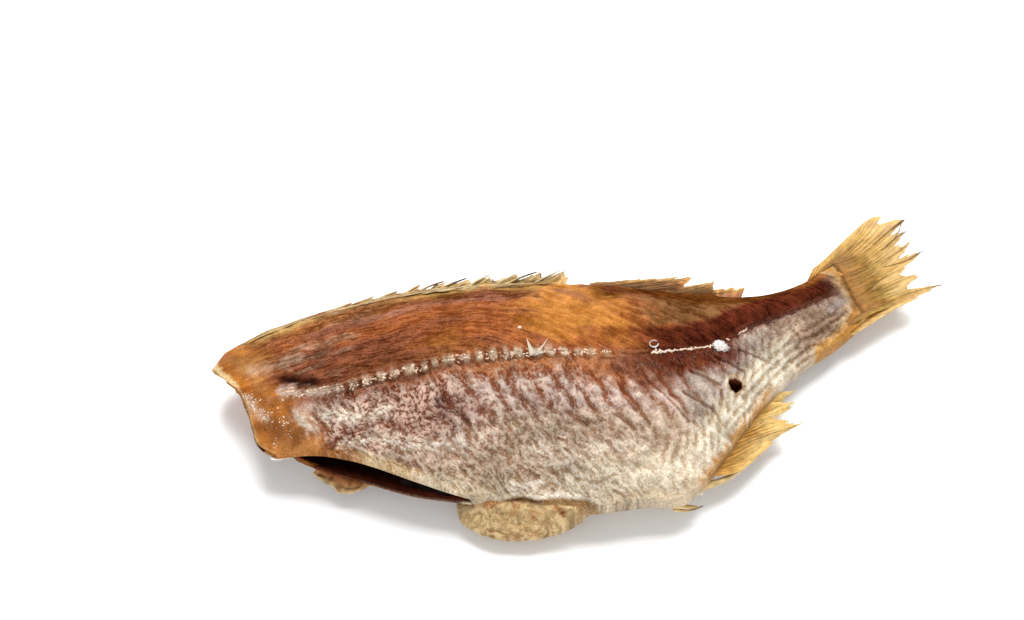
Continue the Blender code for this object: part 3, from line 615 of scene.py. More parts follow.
def bodyGrid():   # rows are slices, columns run over the upper half and then back under the lower half
    upperShares = evenShares(body["upperColumns"], body["fullestUpper"], fallUpper)
    lowerShares = evenShares(body["lowerColumns"], body["fullestLower"], fallLower)[::-1][1:]
    h = np.concatenate((upperShares, lowerShares))[None, :]
    upper = (np.arange(h.shape[1]) < len(upperShares))[None, :]
    sliceX = np.concatenate([np.linspace(a, b, n, endpoint=False) for a, b, n in body["stretches"]])
    sliceX = np.append(sliceX, body["tailBaseX"])[:, None]
    recess = np.where(upper, 0, undercut(sliceX, h))
    x = flankX(sliceX, h, recess)
    y = flankY(x, h)
    edge = edgeThickness(sliceX, np.where(upper, 0, undercut(sliceX, 0)))
    rise = halfThickness(h, edge, upperHalf(x), body["fullestUpper"], fallUpper)
    drop = halfThickness(h, edge, lowerHalf(x), body["fullestLower"], fallLower)
    lowZ = middleHeight(x) - drop
    soft = body["floorSoftness"]
    rounded = np.where(lowZ >= soft, lowZ, np.where(lowZ <= -soft, 0, (lowZ + soft) ** 2 / (4 * soft)))
    outside = np.stack((x, y, np.where(upper, middleHeight(x) + rise, rounded)), axis=-1)

    wallSide = np.where(upper, 1, -1)
    hollowShare = h * hollowHeight(flankX(sliceX, 0))
    meeting = body["wallsMeetAt"] * blend(h, *body["wallsMeetOver"])
    lowerPart = np.where(upper, meeting, 1 - meeting)
    hollowX = flankX(sliceX, hollowShare, undercut(sliceX, hollowShare) * lowerPart)
    edgeX = flankX(sliceX, 0, np.where(upper, 0, undercut(sliceX, 0)))
    width = mix(slitHalfGap(edgeX), hollowHalfWidth(edgeX), blend(h, 0, body["hollowWidensOver"]))
    arch = np.sqrt(np.maximum(1 - h**2, 0))
    hollowZ = middleHeight(hollowX) + wallSide * width * arch
    hollow = np.stack((hollowX, flankY(hollowX, hollowShare), hollowZ), axis=-1)
    return sliceX, h, upper, outside, hollow


def outwardNormals(points):   # unit normals of a grid of points, from its neighbours
    across = np.gradient(points, axis=1)
    along = np.gradient(points, axis=0)
    normals = np.cross(along, across)
    return normals / np.maximum(np.linalg.norm(normals, axis=-1, keepdims=True), 1e-9)


def lipLoop(start, end, roundness):   # points that round a lip's edge from one face to the other
    shares = np.linspace(0, 1, body["lipColumns"] + 2)[1:-1]
    out = np.sin(math.pi * shares) * roundness
    return [mix(start, end, s) + np.array((0, -1, 0)) * b for s, b in zip(shares, out)]


def finishedObject(name, bm, points, attributes, material):   # moves each point to its given place
    mesh = bpy.data.meshes.new(name)
    bm.to_mesh(mesh)
    bm.free()
    lowest = np.array(cadBox[0]) + np.array((boxMargin, boxMargin, 0))
    inside = np.clip(place(points), lowest, np.array(cadBox[1]) - boxMargin)
    mesh.vertices.foreach_set("co", inside.reshape(-1).astype(np.float32))
    for key, values in attributes.items():
        vectors = values.shape[-1] == 3
        layer = mesh.attributes.new(key, "FLOAT_VECTOR" if vectors else "FLOAT_COLOR", "POINT")
        layer.data.foreach_set("vector" if vectors else "color", values.reshape(-1).astype(np.float32))
    mesh.materials.append(material)
    return linked(name, mesh)


def gridObject(name, points, attributes, material):   # one mesh from rows and columns of points
    rows, columns = points.shape[:2]
    bm = bmesh.new()
    bmesh.ops.create_grid(bm, x_segments=columns - 1, y_segments=rows - 1, size=1)
    return finishedObject(name, bm, points, attributes, material)


def closeSeams(made, within=0.00001):   # joins points that lie within so many metres
    bm = bmesh.new()
    bm.from_mesh(made.data)
    bmesh.ops.remove_doubles(bm, verts=bm.verts, dist=within)
    bmesh.ops.dissolve_degenerate(bm, edges=bm.edges, dist=within / 2)
    bmesh.ops.recalc_face_normals(bm, faces=bm.faces)
    bm.to_mesh(made.data)
    bm.free()
    made.data.shade_smooth()


def withAlpha(tint):
    return np.concatenate((np.clip(tint, 0, 1), np.ones(tint.shape[:-1] + (1,))), axis=-1)


def crossLoop(outer, inner, outerLooks, innerLooks, roundness):
    # Round the outside, over the lower lip, back along the hollow and over the upper lip
    low = lipLoop(outer[-1], inner[-1], roundness)
    high = lipLoop(inner[0], outer[0], roundness)
    points = np.concatenate((outer, low, inner[::-1], high, outer[:1]))
    first, last = outerLooks[:1], outerLooks[-1:]
    looks = (outerLooks, *[last] * len(low), innerLooks[::-1], *[first] * len(high), first)
    return points, np.concatenate(looks)


cutFace = {"dished": 1.2, "lumps": 0.9, "sunk": 0.6, "lumpSize": 3, "lipRound": 0.2}


def cutFaceLoops(outer, inner, outerLooks):   # the head cut, from its middle out to its rim
    loops = []
    middle = (outer + inner) / 2 + np.array((cutFace["dished"], 0, 0))
    size = cutFace["lumpSize"]
    for t in np.linspace(0, 1, body["capRows"], endpoint=False):
        flesh = roughHills(outer[:, 1] / size + 5 * t, outer[:, 2] / size, 83)
        rise = (cutFace["lumps"] * flesh - cutFace["sunk"]) * (1 - t**4)
        swellOut = rise[:, None] * np.array((-1, 0, 0))
        around = mix(middle, outer, t) + swellOut
        looks = outerLooks.copy()
        looks[:, :6] = np.array(palette["amber"]) * (1 - t**3) + np.array(palette["honey"]) * t**3
        # painted light: the lumps that stand out show more of the lit ridge colour
        looks[:, 6] = 0.5 + 0.5 * flesh
        looks[:, 11:] = around
        within = mix(middle, inner, t) + swellOut
        loops.append(crossLoop(around, within, looks, looks, cutFace["lipRound"] * t))
    return loops


def bodyLooks(f, x, tint, share, upper):
    # Fourteen numbers for each spot: six of tint, its share, four marks and three of flow
    gloss = 0.2 + 0.35 * (1 - f["muscle"]) * blend(share, 0.4, 1) + 0.06 * f["patch"] + 0.6 * f["skirtEdge"]
    gloss = gloss + 0.2 * hump(f["fromCut"], 8, 12)
    # salt specks and painted glints: where the shader lays its pale dots
    nearLine = (0.16 + 0.25 * hump(f["below"], 0, 2.0)) * between(f["x"], (-102, -92, 0, 14))
    saltAndGlint = 0.3 * f["crusts"] + 0.3 * f["ripples"] + nearLine
    fibrous = f["muscle"] * blend(f["fromCut"], 8, 20) * (1 - 0.5 * blend(f["x"], -30, -15))
    crumpled = f["skin"] * (1 - 0.65 * blend(f["x"], -20, 12))
    marks = np.stack((gloss, saltAndGlint, fibrous, crumpled), axis=-1)
    flow = np.stack((f["flowAlong"], f["flowAcross"], np.where(upper, 0, 50) + 0 * x), axis=-1)
    return np.concatenate((tint, share[..., None], marks, flow), axis=-1)


def hollowWall(hollow, h):   # a lumpy wall, dark red at the lips and black inside
    deep = (blend(h, 0, 0.3) + 0 * hollow[..., 0])[..., None]
    lumpy = roughHills(hollow[..., 0] / 6, hollow[..., 1] / 3, 57)
    tint = np.array(hollowLook["lips"]) * (1 - deep) + np.array(hollowLook["inside"]) * deep
    tint = tint * (1 + hollowLook["mottle"] * lumpy)[..., None]
    wall = hollow + (hollowLook["lumps"] * lumpy * blend(h, 0.02, 0.2))[..., None] * np.array((0, 0, 1))
    coarse = np.arange(h.shape[1]) // body["hollowStep"] * body["hollowStep"]
    coarse[-1] = h.shape[1] - 1
    wall = wall[:, coarse]
    dull = np.broadcast_to(np.array((0.5, 0.6, 0, 0, 0)), tint.shape[:2] + (5,))
    return wall, np.concatenate((tint, tint * 0.6, dull, wall), axis=-1)


def makeBody(material):
    sliceX, h, upper, outside, hollow = bodyGrid()
    x, y = outside[..., 0], outside[..., 1]
    fields = [flankFields(x, y, seed) for seed in (3, 211)]   # the lower flank has patterns of its own
    f = {key: np.where(upper, fields[0][key], fields[1][key]) for key in fields[0]}
    tint = np.where(upper[..., None], paintFlank(fields[0], 3), paintFlank(fields[1], 211))
    lowerLip = ~upper * between(x, (-110, -102, -58, -54)) * (1 - blend(f["above"], 2, 6))
    tint = cover(tint, "liver", 0.9 * lowerLip)
    rise = skinRelief(f)
    looks = bodyLooks(f, x, tint, ridgeLightShare(f, rise), upper)
    outside = outside + outwardNormals(outside) * (rise * blend(outside[..., 2], 0.2, 3))[..., None]
    outside[..., 2] = np.clip(outside[..., 2], 0, cadBox[1][2] / mm - 0.05)
    hollow, hollowLooks = hollowWall(hollow, h)

    isOpen = slitIsOpen(sliceX)[:, 0]
    ridge = np.stack((flankX(sliceX, 0)[:, 0],) * 3, axis=-1)
    ridge[:, 1] = bellyEdge(ridge[:, 0]) - body["ridgeOut"]
    ridge[:, 2] = middleHeight(ridge[:, 0]) - body["ridgeDown"]
    loops = cutFaceLoops(outside[0], hollow[0], looks[0])
    for row in range(len(sliceX)):
        outer, inner = outside[row].copy(), hollow[row]
        outerLooks, innerLooks = looks[row].copy(), hollowLooks[row]
        if not isOpen[row]:   # the flanks close on a ridge, and the grain runs on down to it
            outer[0] = outer[-1] = ridge[row]
            inner = np.repeat(ridge[row:row + 1], hollow.shape[1], axis=0)
            outerLooks[0, 13], outerLooks[-1, 13] = 4, 46
            innerLooks = np.repeat(outerLooks[:1], hollow.shape[1], axis=0)
        roundness = body["lipRound"] if isOpen[row] else 0
        loops.append(crossLoop(outer, inner, outerLooks, innerLooks, roundness))
    ending = np.repeat(outside[-1].mean(axis=0, keepdims=True), outside.shape[1], axis=0)
    loops.append(crossLoop(ending, ending, looks[-1], looks[-1], 0))
    points, loopLooks = (np.stack(part) for part in zip(*loops))
    # tint holds the ridge colour and its share, deep the crease colour: they carry the painted highlight and
    # the painted shade
    attributes = {"tint": loopLooks[..., [0, 1, 2, 6]], "deep": withAlpha(loopLooks[..., 3:6]),
                  "marks": loopLooks[..., 7:11], "flow": loopLooks[..., 11:]}
    made = gridObject("flesh_and_skin", points, attributes, material)
    closeSeams(made)
    return made


# Materials

def addNode(tree, kind, inputs, **settings):
    made = tree.nodes.new(kind)
    for key, value in settings.items():
        setattr(made, key, value)
    for key, value in inputs.items():
        if isinstance(value, bpy.types.NodeSocket):
            tree.links.new(value, made.inputs[key])
        else:
            made.inputs[key].default_value = value
    return made


def newMaterial(name, sockets):
    material = bpy.data.materials.new(name)
    material.use_nodes = True
    surface = material.node_tree.nodes["Principled BSDF"]
    for key, value in sockets.items():
        surface.inputs[key].default_value = value
    return material, material.node_tree, surface


def mapped(tree, value, fromLow, fromHigh, toLow, toHigh):
    ends = {"Value": value, "From Min": fromLow, "From Max": fromHigh, "To Min": toLow, "To Max": toHigh}
    return addNode(tree, "ShaderNodeMapRange", ends).outputs["Result"]


def maths(tree, operation, a, b):
    return addNode(tree, "ShaderNodeMath", {0: a, 1: b}, operation=operation).outputs[0]


def times(tree, a, b):
    return maths(tree, "MULTIPLY", a, b)


def plus(tree, a, b):
    return maths(tree, "ADD", a, b)


def tinted(tree, colour, factor):   # the colour darkened or lightened by a factor
    product = addNode(tree, "ShaderNodeMix", {"Factor": 1.0}, data_type="RGBA", blend_type="MULTIPLY")
    tree.links.new(colour, product.inputs[6])
    tree.links.new(factor, product.inputs[7])
    return product.outputs[2]


def blended(tree, amount, first, second):   # from the first colour to the second by an amount
    both = addNode(tree, "ShaderNodeMix", {"Factor": amount}, data_type="RGBA", blend_type="MIX")
    for socket, colour in ((both.inputs[6], first), (both.inputs[7], second)):
        if isinstance(colour, tuple):
            socket.default_value = (*colour, 1)
        else:
            tree.links.new(colour, socket)
    return both.outputs[2]


def noise(tree, at, scale, detail, roughness, distortion=0.0):
    if isinstance(scale, tuple):   # a size of its own along and across the flow
        at, scale = addNode(tree, "ShaderNodeMapping", {"Vector": at, "Scale": scale}).outputs[0], 1
    sockets = {"Vector": at, "Scale": scale, "Detail": detail}
    sockets.update({"Roughness": roughness, "Distortion": distortion})
    return addNode(tree, "ShaderNodeTexNoise", sockets).outputs["Fac"]


def attribute(tree, name, output):
    return addNode(tree, "ShaderNodeAttribute", {}, attribute_name=name).outputs[output]


def addBump(tree, surface, strength, distance, height):
    bump = addNode(tree, "ShaderNodeBump", {"Strength": strength, "Distance": distance, "Height": height})
    tree.links.new(bump.outputs["Normal"], surface.inputs["Normal"])


skinLook = {   # each pattern's scale, detail, roughness and distortion
    "fibres": ((0.16, 1.7, 1), 5, 0.68, 0.5), "streaks": ((0.4, 1.8, 1), 5, 0.66, 0.25),
    "wrinkles": ((0.14, 0.62, 1), 4, 0.55, 0.4), "wrinkleHighlights": ((0.2, 0.7, 1), 3, 0.55, 0.5),
    "dashes": ((1.1, 2.6, 1), 3, 0.6, 0.5), "clouds": (260, 4, 0.6, 0.3), "grains": (1700, 3, 0.65),
    "flecks": (1200, 3, 0.65), "spots": (300, 2, 0.5),
    "wrinkleHighlightColour": (0.9, 0.73, 0.58), "wrinkleHighlightShare": 0.6, "saltAndGlintColour": (0.95, 0.82, 0.7), "saltAndGlintShare": 0.85,
    "rough": (0.58, 0.26), "shine": (0.1, 0.8), "bump": 0.9, "bumpHeight": 0.001,
}


def skinMaterial():
    material, tree, surface = newMaterial("dried_skin_and_flesh", {
        "Metallic": 0.0, "IOR": 1.4, "Coat Weight": 0.0, "Subsurface Weight": 0.06,
        "Subsurface Radius": (0.9, 0.35, 0.15), "Subsurface Scale": 0.0015,
    })
    pale = attribute(tree, "tint", "Color")
    share = attribute(tree, "tint", "Alpha")
    deep = attribute(tree, "deep", "Color")
    flow = attribute(tree, "flow", "Vector")
    gloss, saltAndGlint, fibrous = addNode(
        tree, "ShaderNodeSeparateColor", {"Color": attribute(tree, "marks", "Color")}).outputs[:3]
    crumpled = attribute(tree, "marks", "Alpha")
    at = addNode(tree, "ShaderNodeTexCoord", {}).outputs["Object"]

    fibres, streaks, wrinkles, wrinkleHighlights, dashes = (
        noise(tree, flow, *skinLook[key]) for key in ("fibres", "streaks", "wrinkles", "wrinkleHighlights", "dashes"))
    clouds, grains, flecks, spots = (
        noise(tree, at, *skinLook[key]) for key in ("clouds", "grains", "flecks", "spots"))
    wrinkles = maths(tree, "ABSOLUTE", mapped(tree, wrinkles, 0.25, 0.75, -1, 1), 0.0)
    cracked = times(tree, mapped(tree, wrinkles, 0.0, 0.09, 1, 0), mapped(tree, clouds, 0.42, 0.58, 0, 1))
    cracked = times(tree, cracked, crumpled)
    # painted highlights: thin pale lines along the wrinkles
    wrinkleHighlights = maths(tree, "ABSOLUTE", mapped(tree, wrinkleHighlights, 0.25, 0.75, -1, 1), 0.0)
    wrinkleHighlights = times(tree, mapped(tree, wrinkleHighlights, 0.0, 0.08, 1, 0), mapped(tree, clouds, 0.6, 0.44, 0, 1))
    wrinkleHighlights = times(tree, wrinkleHighlights, crumpled)

    share = plus(tree, share, times(tree, mapped(tree, fibres, 0.3, 0.7, -1.0, 1.0), fibrous))
    share = plus(tree, share, times(tree, mapped(tree, streaks, 0.3, 0.7, -0.26, 0.26), crumpled))
    share = plus(tree, share, mapped(tree, clouds, 0.3, 0.7, -0.14, 0.14))
    speckled = mapped(tree, maths(tree, "MAXIMUM", fibrous, crumpled), 0, 1, 0.14, 0.46)
    share = plus(tree, share, times(tree, mapped(tree, flecks, 0.3, 0.7, -1, 1), speckled))
    share = plus(tree, share, times(tree, cracked, -0.65))
    share = maths(tree, "MINIMUM", maths(tree, "MAXIMUM", share, 0.0), 1.0)
    # painted light: the shaded crease colour and the lit ridge colour mixed by the share
    colour = blended(tree, share, deep, pale)
    colour = blended(tree, times(tree, wrinkleHighlights, skinLook["wrinkleHighlightShare"]), colour, skinLook["wrinkleHighlightColour"])
    # pale dots: salt specks and painted glints
    saltGlintDots = times(tree, mapped(tree, dashes, 0.62, 0.7, 0, 1), mapped(tree, spots, 0.48, 0.6, 0, 1))
    saltGlintDots = times(tree, saltGlintDots, saltAndGlint)
    colour = blended(tree, times(tree, saltGlintDots, skinLook["saltAndGlintShare"]), colour, skinLook["saltAndGlintColour"])
    colour = tinted(tree, colour, mapped(tree, grains, 0.3, 0.7, 0.55, 0.95))
    tree.links.new(colour, surface.inputs["Base Color"])

    rough = mapped(tree, gloss, 0, 1, *skinLook["rough"])
    rough = plus(tree, rough, mapped(tree, grains, 0.3, 0.7, -0.08, 0.1))
    tree.links.new(rough, surface.inputs["Roughness"])
    lightness = addNode(tree, "ShaderNodeRGBToBW", {"Color": colour}).outputs[0]
    lit = mapped(tree, lightness, 0.05, 0.35, 0.0, 1)   # dark spots don't shine
    shine = times(tree, mapped(tree, gloss, 0, 1, *skinLook["shine"]), lit)
    tree.links.new(shine, surface.inputs["Specular IOR Level"])

    height = plus(tree, times(tree, fibres, fibrous), times(tree, streaks, crumpled))
    creased = times(tree, wrinkles, crumpled)
    for pattern, amount in ((creased, 0.6), (flecks, 0.7), (wrinkleHighlights, 0.3), (grains, 0.4), (saltGlintDots, 0.4)):
        height = plus(tree, height, times(tree, pattern, amount))
    addBump(tree, surface, skinLook["bump"], skinLook["bumpHeight"], height)
    return material


def finMaterial():
    material, tree, surface = newMaterial("dried_fin", {
        "Roughness": 0.42, "Metallic": 0.0, "IOR": 1.45, "Specular IOR Level": 0.2,
        "Subsurface Weight": 0.3, "Subsurface Radius": (1.0, 0.6, 0.3), "Subsurface Scale": 0.002,
    })
    tint = attribute(tree, "tint", "Color")
    flow = attribute(tree, "flow", "Vector")
    at = addNode(tree, "ShaderNodeTexCoord", {}).outputs["Object"]
    streaks = noise(tree, flow, (0.12, 3.2, 1), 4, 0.6)
    clouds = noise(tree, at, 380, 4, 0.6)
    colour = tinted(tree, tint, mapped(tree, streaks, 0.32, 0.68, 0.56, 0.74))
    colour = tinted(tree, colour, mapped(tree, clouds, 0.35, 0.65, 0.8, 1.2))
    tree.links.new(colour, surface.inputs["Base Color"])
    addBump(tree, surface, 0.6, 0.0003, streaks)
    return material


def crustMaterial():
    material, tree, surface = newMaterial("salt_and_crust", {
        "Roughness": 0.38, "Metallic": 0.0, "IOR": 1.45, "Specular IOR Level": 0.45,
        "Subsurface Weight": 0.25, "Subsurface Radius": (1.0, 0.7, 0.5), "Subsurface Scale": 0.0015,
    })
    at = addNode(tree, "ShaderNodeTexCoord", {}).outputs["Object"]
    grains = noise(tree, at, 2200, 4, 0.65)
    colour = tinted(tree, attribute(tree, "tint", "Color"), mapped(tree, grains, 0.3, 0.7, 0.55, 0.95))
    tree.links.new(colour, surface.inputs["Base Color"])
    addBump(tree, surface, 0.6, 0.0003, grains)
    return material


skin = skinMaterial()
finSkin = finMaterial()
crust = crustMaterial()
fish = makeBody(skin)
print("body:", len(fish.data.polygons), "faces")


# The hanging hole through the tail end, cut with a slightly ragged rod

def cutHole(target):
    bm = bmesh.new()
    bmesh.ops.create_cone(bm, cap_ends=True, segments=hole["sides"], radius1=hole["radius"],
                          radius2=hole["radius"], depth=hole["length"])
    upright = [edge for edge in bm.edges if abs(edge.verts[0].co.z - edge.verts[1].co.z) > 1]
    bmesh.ops.subdivide_edges(bm, edges=upright, cuts=hole["rings"], use_grid_fill=True)
    for vert in bm.verts:
        angle = math.atan2(vert.co.y, vert.co.x)
        ragged = 1 + hole["ragged"][0] * math.sin(3 * angle + 1) + hole["ragged"][1] * math.sin(7 * angle)
        spot = (vert.co.x * ragged + hole["at"][0], vert.co.y * ragged + hole["at"][1], vert.co.z)
        vert.co = Vector(place(spot))
    mesh = bpy.data.meshes.new("hole_cutter")
    bm.to_mesh(mesh)
    bm.free()
    mesh.materials.append(skin)
    cutter = linked("hole_cutter", mesh)
    cut = target.modifiers.new("hole", "BOOLEAN")
    cut.operation = "DIFFERENCE"
    cut.object = cutter
    with bpy.context.temp_override(object=target):
        bpy.ops.object.modifier_apply(modifier=cut.name)
    bpy.data.objects.remove(cutter)

    # The new wall gets a painted highlight at the rim and painted shade further in
    data = target.data
    spots = np.empty(len(data.vertices) * 3, np.float32)
    data.vertices.foreach_get("co", spots)
    spots = spots.reshape(-1, 3) / mm
    middle = place((*hole["at"], 0)) / mm
    wall = np.flatnonzero(np.hypot(*(spots - middle)[:, :2].T) < hole["radius"] * hole["wallWithin"])
    depth = blend(spots[wall, 2].max() - spots[wall, 2], 0.3 * hole["litRimDepth"], hole["litRimDepth"])[:, None]
    tone = np.array(hole["rim"]) * (1 - depth) + np.array(hole["wall"]) * depth
    for at, colour, spot in zip(wall, tone, spots[wall]):
        data.attributes["tint"].data[at].color = (*colour, 0.6)
        data.attributes["deep"].data[at].color = (*(colour * 0.6), 1)
        data.attributes["marks"].data[at].color = (0.2, 0, 0, 0)
        data.attributes["flow"].data[at].vector = spot


cutHole(fish)
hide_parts("dried_fish")
print("hanging hole cut")


# Fins: thin webs whose rays fan out to ragged rims, with the rays themselves as strands

def lineThrough(points, shares):   # points at even shares along a broken line's knots
    points = np.array(points, float)
    knots = np.linspace(0, 1, len(points))
    return np.stack([np.interp(shares, knots, points[:, axis]) for axis in range(points.shape[1])], axis=-1)


def finSheet(look, roots, rim):   # the fin's middle surface: c runs round the rim, t from root to rim
    def at(c, t):
        c, t = np.broadcast_arrays(c, t)
        c = np.clip(c, 0, 1)
        start = roots(c)
        end = lineThrough(rim, c)
        xy = mix(start[..., :2], end, t[..., None])
        bow = look["bow"](c) * np.sin(math.pi * np.clip(t, 0, 1))
        out = end - start[..., :2]
        sideways = np.stack((out[..., 1], -out[..., 0]), axis=-1)
        sideways = sideways / np.maximum(np.linalg.norm(sideways, axis=-1, keepdims=True), 1e-6)
        xy = xy + sideways * bow[..., None]
        z = mix(start[..., 2], look["tipHeight"], t)
        z = z + look["wave"] * roughHills(c * 5, t * 2, look["seed"] + 9) * t
        return np.stack((xy[..., 0], xy[..., 1], z), axis=-1)
    return at


def finTint(look, c, t, each):
    stops = look["colours"]
    along = t * (len(stops) - 1)
    low = np.clip(np.floor(along).astype(int), 0, len(stops) - 2)
    part = (along - low)[..., None]
    table = np.array([palette[name][:3] for name in stops])
    tint = table[low] * (1 - part) + table[low + 1] * part
    tint = tint * (1 + 0.3 * roughHills(c * 14, t * 2.5, look["seed"] + 15))[..., None] * each[..., None]
    for dark, at, width in look["darkTips"]:
        amount = dark * hump(c, at, width) * blend(t, 0.72, 0.95)
        tint = mix(tint, np.array(look["darkTip"]), amount[..., None])
    return tint


def finWeb(name, look, sheet):
    columns, rows = look["webColumns"], look["webRows"]
    c = np.linspace(0, 1, columns + 1)[None, :]
    t = np.linspace(0, 1, rows + 1)[:, None]
    torn = scramble(np.arange(columns + 1) // 2, 3, look["seed"])[None, :]
    points = sheet(c, t * (look["webReach"] - look["fray"] * torn * between(c, look["frayed"])))
    pleats = np.cos(2 * math.pi * c * look["rays"])
    points[..., 2] += look["pleat"] * pleats * np.sin(math.pi * t)
    c, t = np.broadcast_arrays(c, t)
    tint = finTint(look, c, t, 0.9 + 0.1 * np.cos(2 * math.pi * c * look["rays"]))
    flow = np.stack((t * 40, c * look["rays"] * 0.7, 0 * t), axis=-1)
    made = gridObject(name, points, {"tint": withAlpha(tint), "flow": flow}, finSkin)
    return thicken(made, look["thickness"])


def strandObject(name, paths, radii, tints, material, sides=5):   # tapered strands along given paths
    count, joints = radii.shape
    bm = bmesh.new()
    for _ in range(count):
        bmesh.ops.create_grid(bm, x_segments=sides, y_segments=joints - 1, size=1)
    along = np.gradient(paths, axis=1)
    along = along / np.maximum(np.linalg.norm(along, axis=-1, keepdims=True), 1e-9)
    side = np.cross(along, np.array((0, 0, 1.0)))
    side = side / np.maximum(np.linalg.norm(side, axis=-1, keepdims=True), 1e-9)
    upward = np.cross(side, along)
    angle = np.linspace(0, 2 * math.pi, sides + 1)[None, None, :, None]
    rings = (np.cos(angle) * side[:, :, None] + np.sin(angle) * upward[:, :, None]) * radii[:, :, None, None]
    points = paths[:, :, None] + rings
    steps = np.linalg.norm(np.diff(paths, axis=1), axis=-1)
    lengths = np.concatenate((np.zeros((count, 1)), np.cumsum(steps, axis=1)), axis=1)
    flow = np.zeros(points.shape)
    flow[..., 0] = lengths[:, :, None]
    flow[..., 1] = np.arange(count)[:, None, None] * 7.3 + 0.3 * np.sin(angle[..., 0])   # each its own grain
    tintAll = np.broadcast_to(tints[:, :, None], points.shape)
    made = finishedObject(name, bm, points, {"tint": withAlpha(tintAll), "flow": flow}, material)
    closeSeams(made, 0.000001)
    return made


def finStrands(name, look, sheet):
    number = np.arange(look["strands"])
    pick = drawer(number, look["seed"])
    t = np.linspace(0, 1, look["joints"] + 1)[None, :]
    across = ((number + 0.7 * pick(1)[:, 0]) / look["strands"])[:, None]
    starts, ends = mix(*look["from"], across), mix(*look["to"], across)
    tips = np.array(look["tips"])
    nearest = tips[np.abs(ends - tips[None, :]).argmin(axis=1)][:, None] if len(tips) else ends
    pulled = look["pull"] * (nearest - ends) * t * (np.abs(nearest - ends) < look["pullWithin"])
    c = starts + (ends - starts + pulled + look["wander"] * (pick(2) - 0.5)) * t
    length = 1 - look["shortest"] * pick(3) ** 1.6
    paths = sheet(c, t * length)
    x, y, z = np.moveaxis(paths, -1, 0)
    if look is tailLook:   # the rays begin on the skin and run down off the end of the tail base
        onTop = skinTop(x, y) + 0.1
        pastEnd = np.clip(x - body["tailBaseX"], 0, 9) / 9
        z = np.maximum(z, mix(onTop, z, pastEnd))
    paths[..., 2] = z + look["spread"] * (pick(4) - 0.1) * np.sin(math.pi * np.clip(t * 1.1, 0, 1))
    radii = look["radius"] * (0.65 + 0.5 * pick(5)) * (1 - (1 - look["tipShareRadius"]) * t) * closedEnds(t)
    each = mix(*look["tone"], pick(6))
    tint = finTint(look, c, t * length, np.broadcast_to(each, c.shape))
    dark = (pick(7) < look["darkShare"]) * blend(t, *look["darkFrom"])
    tint = mix(tint, np.array(look["darkColour"]), (0.8 * dark)[..., None])
    return strandObject(name, paths, radii, tint, finSkin)


def rootsAlong(edge, ends, sunk, down=0.0):
    def roots(c):
        x = mix(*ends, c)
        return np.stack((x, edge(x) + sunk, middleHeight(x) - down), axis=-1)
    return roots


tailRoot = [(0.0, 78.0, 23.5), (0.24, 89.0, 29.0), (0.86, 91.5, 6.5), (1.0, 84.0, 2.0)]
tailRim = [
    (82.6, 29), (88.6, 32.4), (94.2, 36.1), (100.4, 40.2), (106.6, 43.9), (112.6, 45.9), (114.6, 43.1),
    (122, 42), (116.8, 38.6), (120.8, 37.4), (115.4, 32.4), (120.7, 31.8), (116.2, 27.2), (125.2, 28.3),
    (111.8, 19.6), (117.9, 18.4), (112.8, 13), (124.7, 11.9), (116, 9.2), (104.8, 6.4), (95, 2.8),
    (87, -0.4),
]
analRim = [
    (61.8, -16.1), (54.5, -18.4), (61.5, -20.3), (53.5, -24.4), (61.2, -28.4), (50.4, -31.4), (46.5, -33.8),
    (41, -37.2),
]
softDorsalRim = [
    (7, 41.4), (20, 38.9), (32, 36.8), (43, 35.1), (37, 31.8), (48.4, 31.6), (46, 28.2), (57.6, 26.8),
]
pelvicRim = [(-99.6, -7.5), (-96.5, -12), (-92.8, -16.5), (-89.1, -17.6), (-83.7, -16), (-77, -18.4)]

# What the fins share: each fin's own dictionary adds its sizes and changes some of these
finLook = {
    "bow": lambda c: 0 * c, "wave": 0.4, "pleat": 0.12, "thickness": 0.3, "webReach": 1.0,
    "frayed": (-1, -0.5, 2, 3), "joints": 8, "from": (0.0, 1.0), "to": (0.0, 1.0), "pull": 0.3,
    "pullWithin": 0.1, "radius": 0.2, "tipShareRadius": 0.4, "darkShare": 0.3, "darkFrom": (0.0, 0.5),
    "darkTips": [], "darkTip": (0.07, 0.055, 0.04),
}
tailLook = {
    **finLook, "rays": 44, "seed": 401, "tipHeight": 10.6, "wave": 0.5, "webColumns": 190, "webRows": 30,
    "bow": lambda c: 0.8 * np.sin(2 * math.pi * c), "fray": 0.16, "frayed": (0.22, 0.26, 0.84, 0.9),
    "strands": 260, "joints": 10, "to": (0.225, 0.87), "pull": 0.6, "pullWithin": 0.06,
    "tips": [tip / 21 for tip in range(5, 18, 2)], "wander": 0.02, "shortest": 0.2,
    "spread": 0.25, "radius": 0.13, "tone": (0.85, 1.2), "darkShare": 0.16, "darkColour": (0.5, 0.22, 0.035),
    "colours": ["toffee", "honey", "gold", "straw", "straw", "tipStraw", "tipStraw"],
    "darkTips": [(0.9, 7 / 21, 0.01), (0.8, 9 / 21, 0.01), (0.7, 13 / 21, 0.008), (0.6, 17 / 21, 0.006)],
}
analLook = {
    **finLook, "rays": 30, "seed": 431, "tipHeight": 8.4, "wave": 0.5, "webColumns": 110, "webRows": 24,
    "bow": lambda c: 3.0 * blend(c, 0.55, 1), "fray": 0.25, "frayed": (-1, -0.5, 0.7, 0.8),
    "strands": 130, "joints": 10, "to": (0.0, 0.74), "pull": 0.5, "pullWithin": 0.12,
    "tips": [0, 2 / 7, 4 / 7], "wander": 0.04, "shortest": 0.3, "spread": 0.5, "tone": (0.95, 1.35),
    "darkShare": 0.14, "darkColour": (0.5, 0.22, 0.03), "colours": ["toffee", "gold", "glow", "glow"],
}
